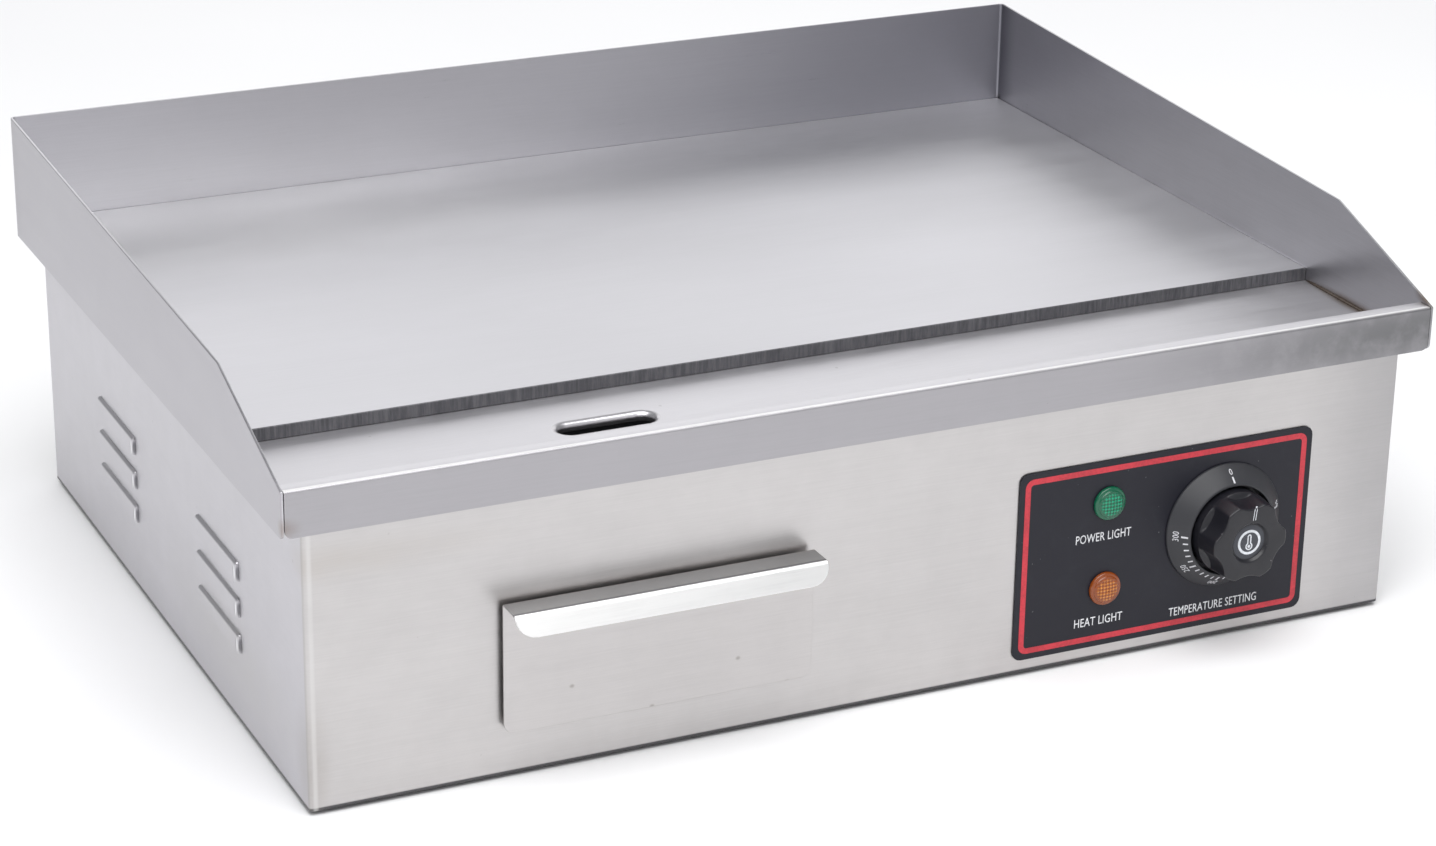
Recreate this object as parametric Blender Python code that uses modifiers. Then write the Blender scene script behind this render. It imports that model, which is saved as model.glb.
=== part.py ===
"""Countertop electric griddle, built as the separate pieces that it comes apart into.

Metres, +Z up, front towards -Y, +X to the right as seen from the front. The origin is the centre
of the bounding box, at the level of the surface that the feet stand on.
Run with: blender --background --python part.py
"""
import math

import bmesh
import bpy
from mathutils import Matrix, Vector

# ---------------------------------------------------------------- driving dimensions
GAP = 0.0003                 # clearance between pieces that touch or are welded
MERGE = 0.0001               # distance below which points are one point
SHARP_ANGLE = math.radians(35)

# Splash guard, rim and gutter
GUARD_WIDTH = 0.550
GUARD_DEPTH = 0.4056
GUARD_SHEET = 0.0012
GUARD_REAR_RISE = 0.0591     # top of the rear guard above the gutter floor
GUARD_BEND_RISE = 0.0471     # top of the side guards where they start to slope to the front
GUARD_BEND_SETBACK = 0.0786  # from the rim's front face back to that bend
GUARD_CORNER = 0.0025        # outer radius of the two rear corners
GUARD_TOE = 0.003            # rounding of the lower front corners
RIM_RISE = 0.0197            # top of the front rim above the gutter floor
RIM_TOP = 0.009              # flat width on top of the front rim
RIM_BEND = 0.001
TRAY_SHEET = 0.0012
TRAY_SKIRT = 0.0008          # how far the rim's front face reaches below the gutter floor
TRAY_LEDGE = 0.0337          # width of the frame under the plate, at each side
GUTTER = 0.1002              # from the rim's front face to the plate's front edge
PLATE_REST = 0.022           # width of the frame under the plate, front and rear

# Griddle plate
PLATE_THICKNESS = 0.006
PLATE_EDGE = 0.0004
BLIND_DEPTH = 0.0038

# Body
BODY_HEIGHT = 0.127
BODY_SHEET = 0.001
BODY_SETBACK = 0.0078        # front panel behind the rim's front face
SIDE_OVERHANG = 0.0107       # guard beyond the body, at each side
REAR_OVERHANG = 0.0101       # guard beyond the body's rear flanges
BODY_FLANGE = 0.014
BODY_CORNER = 0.002
PANEL_MARGIN = 0.002         # rear panel inside the body's outline

# Louvres pressed into the body's sides
LOUVRE_LENGTH = 0.058
LOUVRE_HEIGHT = 0.009
LOUVRE_DEPTH = 0.0016
LOUVRE_ROUND = 0.0008        # inner radius of a louvre's edges
LOUVRE_WALL = 0.001
LOUVRE_PITCH = 0.017
LOUVRE_ROWS = 3
LOUVRE_LOWEST = 0.0345       # mouth of the lowest louvre above the body's bottom
LOUVRE_FRONT = 0.1157        # centre of the front group behind the front panel
LOUVRE_REAR = 0.2688         # centre of the rear group behind the front panel

# Feet and their screws
FOOT_HEIGHT = 0.0022
FOOT_RADIUS = 0.008
FOOT_INSET = 0.009           # foot centre in from the body's side
FOOT_END_INSET = 0.035       # foot centre in from the front panel and from the rear
FOOT_EDGE = 0.0004           # chamfer round the pad's underside
FOOT_WELL_RADIUS = 0.0042
FOOT_WELL = 0.0013           # depth of the well that takes the screw's head
SMALL_SHANK = 0.002          # radius of the foot screws and the rear panel's screws
SMALL_HEAD = 0.0038
SMALL_HEAD_HEIGHT = 0.0022
SMALL_SCREW_REACH = 0.007
TOP_SCREW_HEAD = 0.0048
REAR_SCREW_INSET = 0.022     # rear panel's screws in from the body's top and bottom

# Vent slots in the base plate and the rear panel
BASE_SLOT = (0.030, 0.005)
BASE_SLOT_PITCH = 0.060
BASE_SLOTS = 5
BASE_SLOT_ROW = 0.100        # each row of slots from the middle of the base plate
REAR_SLOT = (0.030, 0.004)
REAR_SLOT_PITCH = 0.050
REAR_SLOTS = 6
REAR_SLOT_START = -0.170
REAR_SLOT_ROW = 0.022        # each row of slots from the middle of the rear panel

# Drain, drawer and runners
DRAIN_LENGTH = 0.046
DRAIN_WIDTH = 0.013
DRAIN_LIP = 0.002            # gutter's slot beyond the chute's bore, all round
DRAIN_SETBACK = 0.063        # drain centre behind the rim's front face
CHUTE_WALL = 0.001
CHUTE_FLANGE = 0.008
CHUTE_CLEARANCE = 0.007      # chute end above the drawer
DRAWER_CENTRE_INSET = 0.1568  # drawer centre in from the body's left side
DRAWER_WIDTH = 0.118
DRAWER_DEPTH = 0.200
DRAWER_HEIGHT = 0.0448
DRAWER_SHEET = 0.0008
DRAWER_LIP = 0.006
DRAWER_RISE = 0.026          # drawer underside above the body's bottom
OPENING_CLEARANCE = 0.0015
FRONT_WIDTH = 0.1436
FRONT_BOTTOM = 0.0203        # drawer front above the body's bottom
FRONT_TOP = 0.0806
FRONT_SHEET = 0.001
FRONT_STANDOFF = 0.0028
FRONT_CORNER = 0.005
HANDLE_REACH = 0.013
HANDLE_LIP = 0.010           # length of the lip that hangs from the handle's front
HANDLE_TILT = math.radians(25)  # lip leans forward from the vertical
HANDLE_CORNER = 0.009
HANDLE_BEND = 0.0016
RAIL_SHEET = 0.001
RAIL_FOOT = 0.012
RAIL_SIDE_CLEARANCE = 0.001
RAIL_LENGTH = 0.235
RAIL_BEND = 0.0015

# Control label, lamps, dial and knob
LABEL_WIDTH = 0.1526
LABEL_HEIGHT = 0.0906
LABEL_SHEET = 0.0005
LABEL_CORNER = 0.0045
LABEL_INSET = 0.12145        # label centre in from the body's right side
LABEL_RISE = 0.0513          # label centre above the body's bottom
LAMP_INSET = 0.1517          # lamp centres in from the body's right side
LAMP_RISES = {"power": 0.0761, "heat": 0.0344}
LENS_RADIUS = 0.008
LENS_HEIGHT = 0.0033
LAMP_RADIUS = 0.006
LAMP_LENGTH = 0.024
DIAL_INSET = 0.0909          # dial centre in from the body's right side
DIAL_RISE = 0.0555
BEZEL_RADIUS = 0.030
BEZEL_MOUTH = 0.0215
BEZEL_HEIGHT = 0.0083
BEZEL_FLOOR = 0.0015
BEZEL_LIP = 0.001
KNOB_REACH = 0.0248          # knob face in front of the front panel
KNOB_CLEARANCE = 0.0008      # knob's rear in front of the bezel's floor
KNOB_BASE_RADIUS = 0.0200
KNOB_FACE_RADIUS = 0.0190
KNOB_SKIRT = 0.009
KNOB_CAVITY_RADIUS = 0.0165
KNOB_CAVITY = 0.004
KNOB_FLUTES = 6
KNOB_FLUTE_RADIUS = 0.014
KNOB_FLUTE_DEPTH = 0.0026
CAP_RADIUS = 0.0082
CAP_RECESS = 0.0016
CAP_SHEET = 0.0008
NECK_RADIUS = 0.0048
NECK_PROUD = 0.001           # thermostat neck in front of the bezel's floor
SHAFT_RADIUS = 0.003
SHAFT_CLEARANCE = 0.0003
SHAFT_LENGTH = 0.034
SHAFT_IN_KNOB = 0.014
THERMOSTAT_SIZE = (0.044, 0.032, 0.036)

# Heating
ELEMENT_COUNT = 3
ELEMENT_RADIUS = 0.00325
ELEMENT_TURN = 0.020         # half the distance between an element's two runs
ELEMENT_BEND = 0.012
ELEMENT_DROP = 0.0285        # length of the legs that turn down to the terminals
ELEMENT_END_INSET = 0.016    # turned end in from the tray's opening
LEG_INSETS = (0.028, 0.016)  # legs in from the tray's opening at the right
CLAMP_WIDTH = 0.020
CLAMP_THICKNESS = 0.003
CLAMP_INSET = 0.140          # clamp bars in from the ends of the opening
CLAMP_END_INSET = 0.006      # clamp bars short of the opening, front and rear
SCREW_HEAD = 0.005
SCREW_HEAD_HEIGHT = 0.0035
SCREW_SHANK = 0.003
HOLE_CLEARANCE = 0.0004
SHIELD_SHEET = 0.0008
SHIELD_DROP = 0.0248         # shield below the plate's underside
SHIELD_LIP = 0.010
SHIELD_MARGIN = 0.010
SHIELD_LEFT_INSET = 0.005
SHIELD_END_INSET = 0.045     # shield short of the opening at the terminals' end
SHIELD_BEND = 0.0015
BOLT_OUTSIDE = 0.0602        # shield's left bolt beyond the left clamp bar
BOLT_MIDDLE = 0.020          # shield's right bolt from the middle
BLANKET_THICKNESS = 0.0069
BLANKET_MARGIN = 0.005
LINK_WIDTH = 0.008
LINK_THICKNESS = 0.0015
BULB_LENGTH = 0.070
BULB_RADIUS = 0.003
BULB_START = 0.010
CAPILLARY_RADIUS = 0.001
LEAD_RADIUS = 0.0015

# Electrical inlet
BLOCK_SIZE = (0.060, 0.024, 0.020)
BLOCK_CENTRE = (0.084, 0.055)  # in from the body's right side and from its rear
GLAND_INSET = 0.084
GLAND_RISE = 0.040
GLAND_HEX = 0.0105
GLAND_THREAD = 0.0078
GLAND_BORE = 0.0046
GLAND_PROUD = 0.0075
GLAND_INSIDE = 0.009
GLAND_NUT = 0.004

# ---------------------------------------------------------------- planes worked out from them
RIM_Y = (KNOB_REACH - BODY_SETBACK - GUARD_DEPTH) / 2
GUARD_REAR_Y = RIM_Y + GUARD_DEPTH
PANEL_Y = RIM_Y + BODY_SETBACK
BODY_REAR_Y = GUARD_REAR_Y - REAR_OVERHANG
BODY_DEPTH = BODY_REAR_Y - PANEL_Y
BODY_MID_Y = (PANEL_Y + BODY_REAR_Y) / 2
BODY_WIDTH = GUARD_WIDTH - 2 * SIDE_OVERHANG
BODY_SIDE = BODY_WIDTH / 2
BODY_BOTTOM = FOOT_HEIGHT
BODY_TOP = BODY_BOTTOM + BODY_HEIGHT
TRAY_BOTTOM = BODY_TOP + GAP
GUTTER_FLOOR = TRAY_BOTTOM + TRAY_SHEET
PLATE_BOTTOM = GUTTER_FLOOR + GAP
PLATE_TOP = PLATE_BOTTOM + PLATE_THICKNESS
PLATE_FRONT_Y = RIM_Y + GUTTER
PLATE_REAR_Y = GUARD_REAR_Y - GUARD_SHEET - GAP
TRAY_SIDE = GUARD_WIDTH / 2 - GUARD_SHEET - GAP
OPENING_SIDE = TRAY_SIDE - TRAY_LEDGE
OPENING_FRONT_Y = PLATE_FRONT_Y + PLATE_REST
OPENING_REAR_Y = PLATE_REAR_Y - PLATE_REST
DRAWER_X = -BODY_SIDE + DRAWER_CENTRE_INSET
DRAWER_BACK_Y = PANEL_Y - FRONT_STANDOFF       # rear face of the drawer's front
DRAWER_BOTTOM = BODY_BOTTOM + DRAWER_RISE
DRAWER_TOP = DRAWER_BOTTOM + DRAWER_HEIGHT
BASE_BOTTOM = BODY_BOTTOM + BODY_SHEET + GAP
BASE_TOP = BASE_BOTTOM + BODY_SHEET
LABEL_X = BODY_SIDE - LABEL_INSET
LABEL_Z = BODY_BOTTOM + LABEL_RISE
LABEL_FACE_Y = PANEL_Y - GAP - LABEL_SHEET
LAMP_X = BODY_SIDE - LAMP_INSET
DIAL_X = BODY_SIDE - DIAL_INSET
DIAL_Z = BODY_BOTTOM + DIAL_RISE
PANEL_BACK_Y = PANEL_Y + BODY_SHEET
RUN_Z = PLATE_BOTTOM - GAP - ELEMENT_RADIUS
ELEMENT_PITCH = (OPENING_REAR_Y - OPENING_FRONT_Y) / ELEMENT_COUNT
CLAMP_TOP = RUN_Z - ELEMENT_RADIUS - GAP
CLAMP_X = OPENING_SIDE - CLAMP_INSET
LEG_BOTTOM = RUN_Z - ELEMENT_DROP
SHIELD_TOP = PLATE_BOTTOM - SHIELD_DROP + SHIELD_SHEET
THERMOSTAT_BACK_Y = PANEL_BACK_Y + GAP + THERMOSTAT_SIZE[1]
RUN_YS = [OPENING_FRONT_Y + (i + 0.5) * ELEMENT_PITCH for i in range(ELEMENT_COUNT)]
TOP_SCREW_YS = (PANEL_Y + 0.120, BODY_REAR_Y - 0.058)
TOP_SCREW_X = BODY_SIDE - BODY_FLANGE / 2

PLANES = {
    "XY": (0.0, 0.0, 0.0),
    "XZ": (math.pi / 2, 0.0, 0.0),               # outline stands up and faces the front
    "YZ": (math.pi / 2, 0.0, math.pi / 2),       # outline stands up and faces the right
}
FACING = {"up": (0.0, 0.0, 0.0), "front": (math.pi / 2, 0.0, 0.0), "rear": (-math.pi / 2, 0.0, 0.0)}


# ---------------------------------------------------------------- scene and materials
def clear_scene():
    for old in list(bpy.data.objects):
        bpy.data.objects.remove(old, do_unlink=True)


def new_collection(name):
    group = bpy.data.collections.new(name)
    bpy.context.scene.collection.children.link(group)
    return group


clear_scene()
PARTS = new_collection("flat_top_griddle")
CUTTERS = new_collection("cutters")


def finish(name, colour, roughness, metallic):
    """A plain Principled material."""
    made = bpy.data.materials.new(name)
    made.use_nodes = True
    shader = made.node_tree.nodes["Principled BSDF"]
    shader.inputs["Base Color"].default_value = (*colour, 1.0)
    shader.inputs["Roughness"].default_value = roughness
    shader.inputs["Metallic"].default_value = metallic
    return made


STAINLESS = ((0.56, 0.55, 0.54), 0.32, 1.0)
MILLED_STEEL = ((0.50, 0.50, 0.51), 0.30, 1.0)
ZINC = ((0.48, 0.48, 0.46), 0.42, 1.0)
BLACK_PLASTIC = ((0.018, 0.018, 0.022), 0.38, 0.0)
SLATE_LABEL = ((0.045, 0.047, 0.060), 0.45, 0.0)
RUBBER = ((0.02, 0.02, 0.02), 0.85, 0.0)
GREEN_LENS = ((0.02, 0.36, 0.20), 0.25, 0.0)
AMBER_LENS = ((0.75, 0.22, 0.03), 0.25, 0.0)
NYLON = ((0.75, 0.74, 0.70), 0.55, 0.0)
CERAMIC = ((0.80, 0.78, 0.72), 0.60, 0.0)
FIBRE = ((0.82, 0.81, 0.76), 0.95, 0.0)
BRASS = ((0.62, 0.46, 0.20), 0.35, 1.0)
COPPER = ((0.70, 0.36, 0.22), 0.35, 1.0)
INCOLOY = ((0.20, 0.20, 0.19), 0.50, 1.0)


# ---------------------------------------------------------------- outlines
def arc(centre, radius, start, stop, steps):
    """Points on an arc, angles in degrees, both ends included."""
    turns = [math.radians(start + (stop - start) * i / steps) for i in range(steps + 1)]
    return [(centre[0] + radius * math.cos(t), centre[1] + radius * math.sin(t)) for t in turns]


def circle(centre, radius, steps=24):
    return arc(centre, radius, 0.0, 360.0, steps)[:-1]


def rounded_rectangle(width, height, radius, centre=(0.0, 0.0), steps=4):
    x, y = width / 2 - radius, height / 2 - radius
    corners = [((x, y), 0), ((-x, y), 90), ((-x, -y), 180), ((x, -y), 270)]
    points = []
    for (cx, cy), start in corners:
        points += arc((centre[0] + cx, centre[1] + cy), radius, start, start + 90, steps)
    return points


def rectangle(x0, y0, x1, y1):
    return [(x0, y0), (x1, y0), (x1, y1), (x0, y1)]


def obround(length, width, centre=(0.0, 0.0), steps=8):
    """A slot's outline, long along its first direction."""
    reach, radius = (length - width) / 2, width / 2
    right = arc((centre[0] + reach, centre[1]), radius, -90, 90, steps)
    left = arc((centre[0] - reach, centre[1]), radius, 90, 270, steps)
    return right + left


def rounded_path(corners, radii, steps=4):
    """A path through the corners, each turned with an arc of its own radius."""
    points = [Vector(corners[0])]
    for before, here, after, radius in zip(corners, corners[1:], corners[2:], radii):
        here = Vector(here)
        back = (Vector(before) - here).normalized()
        ahead = (Vector(after) - here).normalized()
        half = back.angle(ahead) / 2
        start = here + back * (radius / math.tan(half))
        end = here + ahead * (radius / math.tan(half))
        centre = here + (back + ahead).normalized() * (radius / math.sin(half))
        first, last = (start - centre).normalized(), (end - centre).normalized()
        points += [centre + first.slerp(last, i / steps) * radius for i in range(steps + 1)]
    return points + [Vector(corners[-1])]


# ---------------------------------------------------------------- solids
def place(name, data, look=None, location=(0.0, 0.0, 0.0), rotation=(0.0, 0.0, 0.0), parent=None):
    """Puts data in the scene: a sub-part when it has a look, otherwise a cutter."""
    made = bpy.data.objects.new(name, data)
    made.location = location
    made.rotation_euler = rotation
    if look is None:
        CUTTERS.objects.link(made)
        made.hide_render = True
        made.display_type = "WIRE"
        return made
    PARTS.objects.link(made)
    made.data.materials.append(finish(name, *look))
    if parent is not None:
        made.parent = parent
        made.location = Vector(location) - parent.location
    return made


def to_mesh(name, shape):
    mesh = bpy.data.meshes.new(name)
    bmesh.ops.recalc_face_normals(shape, faces=shape.faces)
    shape.to_mesh(mesh)
    shape.free()
    return mesh


def evaluated_mesh(made):
    bpy.context.view_layer.update()
    graph = bpy.context.evaluated_depsgraph_get()
    return bpy.data.meshes.new_from_object(made.evaluated_get(graph))


def block(name, low, high, look=None, bevel=0.0, parent=None):
    """A box between two corners, with an optional chamfer on every edge."""
    shape = bmesh.new()
    bmesh.ops.create_cube(shape, size=1.0)
    size = [b - a for a, b in zip(low, high)]
    bmesh.ops.scale(shape, vec=size, verts=shape.verts)
    if bevel:
        bmesh.ops.bevel(shape, geom=shape.edges[:], offset=bevel, segments=1, affect="EDGES")
    middle = [(a + b) / 2 for a, b in zip(low, high)]
    return place(name, to_mesh(name, shape), look, middle, parent=parent)


def prism(name, loops, thickness, look=None, plane="XY", location=(0.0, 0.0, 0.0), parent=None):
    """A flat outline with its holes, as thick as given, centred on its plane."""
    curve = bpy.data.curves.new(name + "_outline", "CURVE")
    curve.dimensions = "2D"
    curve.fill_mode = "BOTH"
    curve.extrude = thickness / 2
    for loop in loops:
        spline = curve.splines.new("POLY")
        spline.points.add(len(loop) - 1)
        for point, (x, y) in zip(spline.points, loop):
            point.co = (x, y, 0.0, 1.0)
        spline.use_cyclic_u = True
    outline = place(name + "_outline", curve)
    mesh = evaluated_mesh(outline)
    bpy.data.objects.remove(outline, do_unlink=True)
    shape = bmesh.new()
    shape.from_mesh(mesh)
    bmesh.ops.remove_doubles(shape, verts=shape.verts, dist=MERGE)
    bpy.data.meshes.remove(mesh)
    return place(name, to_mesh(name, shape), look, location, PLANES[plane], parent)


def shade_round(made):
    """Shades the curved faces smooth and keeps the sharp edges."""
    made.data.shade_smooth()
    made.data.set_sharp_from_angle(angle=SHARP_ANGLE)
    return made


def turned(name, profile, look=None, facing="front", location=(0.0, 0.0, 0.0), closed=False,
           steps=32, parent=None):
    """A turned solid; profile points are (radius, height), outer side from top to bottom."""
    shape = bmesh.new()
    ring = [shape.verts.new((radius, 0.0, height)) for radius, height in profile]
    for a, b in zip(ring, ring[1:]):
        shape.edges.new((a, b))
    if closed:
        shape.edges.new((ring[-1], ring[0]))
    mesh = bpy.data.meshes.new(name)
    shape.to_mesh(mesh)
    shape.free()
    made = place(name, mesh, look, location, FACING[facing], parent)
    screw = made.modifiers.new("turn", "SCREW")
    screw.steps = steps
    screw.render_steps = steps
    screw.use_merge_vertices = True
    screw.merge_threshold = MERGE
    made.data = evaluated_mesh(made)
    made.modifiers.clear()
    return shade_round(made)


def rod(name, radius, start, end, look=None, steps=16, parent=None):
    """A straight round bar from one point to another."""
    start, end = Vector(start), Vector(end)
    shape = bmesh.new()
    length = (end - start).length
    bmesh.ops.create_cone(shape, cap_ends=True, segments=steps, radius1=radius, radius2=radius,
                          depth=length)
    turn = (end - start).to_track_quat("Z", "Y").to_euler()
    return shade_round(place(name, to_mesh(name, shape), look, (start + end) / 2, turn, parent))


def tube(name, points, radius, look):
    """A bent bar or lead with flat ends."""
    curve = bpy.data.curves.new(name, "CURVE")
    curve.dimensions = "3D"
    curve.bevel_depth = radius
    curve.bevel_resolution = 2
    curve.use_fill_caps = True
    spline = curve.splines.new("POLY")
    spline.points.add(len(points) - 1)
    for point, where in zip(spline.points, points):
        point.co = (*where, 1.0)
    return place(name, curve, look)


def folded(name, profile, length, sheet, bend, look, plane, location=(0.0, 0.0, 0.0), parent=None):
    """A sheet folded along a profile and swept along its length.

    The profile is the sheet's face on the right-hand side of the path; the sheet's thickness
    goes to the left of it.
    """
    shape = bmesh.new()
    line = [shape.verts.new((x, y, -length / 2)) for x, y in profile]
    edges = [shape.edges.new(pair) for pair in zip(line, line[1:])]
    swept = bmesh.ops.extrude_edge_only(shape, edges=edges)["geom"]
    moved = [item for item in swept if isinstance(item, bmesh.types.BMVert)]
    bmesh.ops.translate(shape, verts=moved, vec=(0.0, 0.0, length))
    bmesh.ops.recalc_face_normals(shape, faces=shape.faces)
    step = line[1].co - line[0].co
    facing = Vector((step.y, -step.x, 0.0))
    first = edges[0].link_faces[0]
    if first.normal.dot(facing) < 0:
        bmesh.ops.reverse_faces(shape, faces=shape.faces)
    folds = [edge for edge in shape.edges if len(edge.link_faces) == 2]
    bmesh.ops.bevel(shape, geom=folds, offset=bend, segments=3, profile=0.5, affect="EDGES")
    mesh = bpy.data.meshes.new(name)
    shape.to_mesh(mesh)
    shape.free()
    made = place(name, mesh, look, location, PLANES[plane], parent)
    thicken = made.modifiers.new("sheet", "SOLIDIFY")
    thicken.thickness = sheet
    thicken.offset = -1.0
    thicken.use_even_offset = True
    return made


def round_edges(made, wanted, radius, steps=4):
    """Rounds the edges of a finished solid that a test on their two ends picks out."""
    mesh = evaluated_mesh(made)
    made.modifiers.clear()
    made.data = mesh
    shape = bmesh.new()
    shape.from_mesh(mesh)
    bmesh.ops.remove_doubles(shape, verts=shape.verts, dist=MERGE / 10)
    sharp = [edge for edge in shape.edges if edge.calc_face_angle(0.0) > SHARP_ANGLE]
    chosen = [edge for edge in sharp if wanted(edge.verts[0].co, edge.verts[1].co)]
    bmesh.ops.bevel(shape, geom=chosen, offset=radius, segments=steps, profile=0.5,
                    affect="EDGES")
    bmesh.ops.recalc_face_normals(shape, faces=shape.faces)
    shape.to_mesh(mesh)
    shape.free()


def boolean(made, tool, operation="DIFFERENCE"):
    change = made.modifiers.new(tool.name, "BOOLEAN")
    change.operation = operation
    change.solver = "EXACT"
    change.object = tool


def several(name, tools):
    """Joins separate cutters into one cutter object."""
    shape = bmesh.new()
    for tool in tools:
        mesh = evaluated_mesh(tool)
        mesh.transform(tool.matrix_world)
        shape.from_mesh(mesh)
        bpy.data.meshes.remove(mesh)
        bpy.data.objects.remove(tool, do_unlink=True)
    mesh = bpy.data.meshes.new(name)
    shape.to_mesh(mesh)
    shape.free()
    return place(name, mesh)


def holes(name, places, radius, axis, reach):
    """A cutter of round holes through the given places, each side of them by reach."""
    step = Vector(axis) * reach
    return several(name, [rod(f"{name}_{i}", radius, Vector(p) - step, Vector(p) + step, steps=12)
                          for i, p in enumerate(places)])


def corners(x, ys):
    return [(side * x, y) for side in (-1, 1) for y in ys]


# ---------------------------------------------------------------- body
FOOT_PLACES = corners(BODY_SIDE - FOOT_INSET,
                      (PANEL_Y + FOOT_END_INSET, BODY_REAR_Y - FOOT_END_INSET))
TOP_SCREW_PLACES = corners(TOP_SCREW_X, TOP_SCREW_YS)
REAR_SCREW_PLACES = corners(BODY_SIDE - BODY_FLANGE / 2,
                            (BODY_BOTTOM + REAR_SCREW_INSET, BODY_TOP - REAR_SCREW_INSET))
CORNER_NAMES = ("front_left", "rear_left", "front_right", "rear_right")
REAR_CORNER_NAMES = ("lower_left", "upper_left", "lower_right", "upper_right")


def louvre_shape(name, side, centre_y, mouth_z, grow):
    """A long low hood with rounded edges that stands out of the side, flat at its mouth below."""
    depth = LOUVRE_DEPTH + grow
    half = LOUVRE_LENGTH / 2 - LOUVRE_WALL + grow
    height = LOUVRE_HEIGHT - LOUVRE_WALL + grow
    shape = bmesh.new()
    bmesh.ops.create_cube(shape, size=1.0)
    bmesh.ops.scale(shape, vec=(depth, 2 * half, height), verts=shape.verts)
    bmesh.ops.translate(shape, vec=(side * depth / 2, 0.0, height / 2), verts=shape.verts)

    def at_base(a, b):
        return max(a.z, b.z) < MERGE or max(abs(a.x), abs(b.x)) < MERGE

    outer = [edge for edge in shape.edges if not at_base(edge.verts[0].co, edge.verts[1].co)]
    bmesh.ops.bevel(shape, geom=outer, offset=LOUVRE_ROUND + grow, segments=3, profile=0.5,
                    affect="EDGES")
    wall = side * (BODY_SIDE - BODY_SHEET)
    return place(name, to_mesh(name, shape), None, (wall, centre_y, mouth_z))


def body_shell():
    shell = block("body_shell", (-BODY_SIDE, PANEL_Y, BODY_BOTTOM),
                  (BODY_SIDE, BODY_REAR_Y, BODY_TOP), STAINLESS)
    half = Vector((BODY_WIDTH / 2, BODY_DEPTH / 2, 0.0))

    def front_corner(a, b):
        upright = abs(a.z - b.z) > BODY_HEIGHT / 2
        return upright and min(a.y, b.y) < -half.y + MERGE and abs(a.y - b.y) < MERGE

    round_edges(shell, front_corner, BODY_CORNER, 3)
    hoods = []
    hollows = []
    for side in (-1, 1):
        for group, setback in (("front", LOUVRE_FRONT), ("rear", LOUVRE_REAR)):
            for row in range(LOUVRE_ROWS):
                where = (side, PANEL_Y + setback, BODY_BOTTOM + LOUVRE_LOWEST + row * LOUVRE_PITCH)
                tag = f"{group}_{side}_{row}"
                hoods.append(louvre_shape("hood_" + tag, *where, LOUVRE_WALL))
                hollows.append(louvre_shape("hollow_" + tag, *where, 0.0))
    boolean(shell, several("louvre_hoods", hoods), "UNION")
    inside = block("body_inside",
                   (-BODY_SIDE + BODY_SHEET, PANEL_BACK_Y, BODY_BOTTOM + BODY_SHEET),
                   (BODY_SIDE - BODY_SHEET, BODY_REAR_Y - BODY_SHEET, BODY_TOP - BODY_SHEET))
    boolean(shell, inside)
    boolean(shell, several("louvre_hollows", hollows))
    side = BODY_SIDE - BODY_FLANGE
    front, rear = PANEL_Y + BODY_FLANGE, BODY_REAR_Y - BODY_FLANGE
    boolean(shell, block("body_opening", (-side, front, BODY_BOTTOM - BODY_SHEET),
                         (side, rear, BODY_TOP + BODY_SHEET)))
    boolean(shell, block("rear_opening",
                         (-side, rear, BODY_BOTTOM + BODY_FLANGE),
                         (side, BODY_REAR_Y + BODY_SHEET, BODY_TOP - BODY_FLANGE)))
    reach = DRAWER_WIDTH / 2 + DRAWER_LIP + OPENING_CLEARANCE
    boolean(shell, block("drawer_opening",
                         (DRAWER_X - reach, PANEL_Y - BODY_SHEET, DRAWER_BOTTOM - OPENING_CLEARANCE),
                         (DRAWER_X + reach, PANEL_BACK_Y + BODY_SHEET,
                          DRAWER_TOP + 2 * OPENING_CLEARANCE)))
    fronts = [(LAMP_X, PANEL_Y, BODY_BOTTOM + rise) for rise in LAMP_RISES.values()]
    boolean(shell, holes("lamp_holes", fronts, LAMP_RADIUS + GAP, (0, 1, 0), 0.004))
    boolean(shell, holes("neck_hole", [(DIAL_X, PANEL_Y, DIAL_Z)], NECK_RADIUS + GAP,
                         (0, 1, 0), 0.004))
    tops = [(x, y, BODY_TOP) for x, y in TOP_SCREW_PLACES]
    boolean(shell, holes("top_screw_holes", tops, SCREW_SHANK + HOLE_CLEARANCE, (0, 0, 1), 0.004))
    feet = [(x, y, BODY_BOTTOM) for x, y in FOOT_PLACES]
    boolean(shell, holes("foot_screw_holes", feet, SMALL_SHANK + HOLE_CLEARANCE, (0, 0, 1),
                         3 * BODY_SHEET))
    rears = [(x, BODY_REAR_Y, z) for x, z in REAR_SCREW_PLACES]
    boolean(shell, holes("rear_screw_holes", rears, SMALL_SHANK + HOLE_CLEARANCE, (0, 1, 0),
                         3 * BODY_SHEET))


def base_plate():
    margin = BODY_SHEET + 3 * GAP
    x, y = BODY_SIDE - margin, BODY_DEPTH / 2 - margin
    loops = [rectangle(-x, -y, x, y)]
    for place_x, place_y in FOOT_PLACES:
        loops.append(circle((place_x, place_y - BODY_MID_Y), SMALL_SHANK + HOLE_CLEARANCE, 12))
    first = -(BASE_SLOTS - 1) / 2 * BASE_SLOT_PITCH
    for row in (-1, 1):
        for i in range(BASE_SLOTS):
            where = (first + i * BASE_SLOT_PITCH, row * BASE_SLOT_ROW)
            loops.append(obround(*BASE_SLOT, where, 4))
    prism("base_plate", loops, BODY_SHEET, ZINC, "XY",
          (0.0, BODY_MID_Y, (BASE_BOTTOM + BASE_TOP) / 2))


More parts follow.
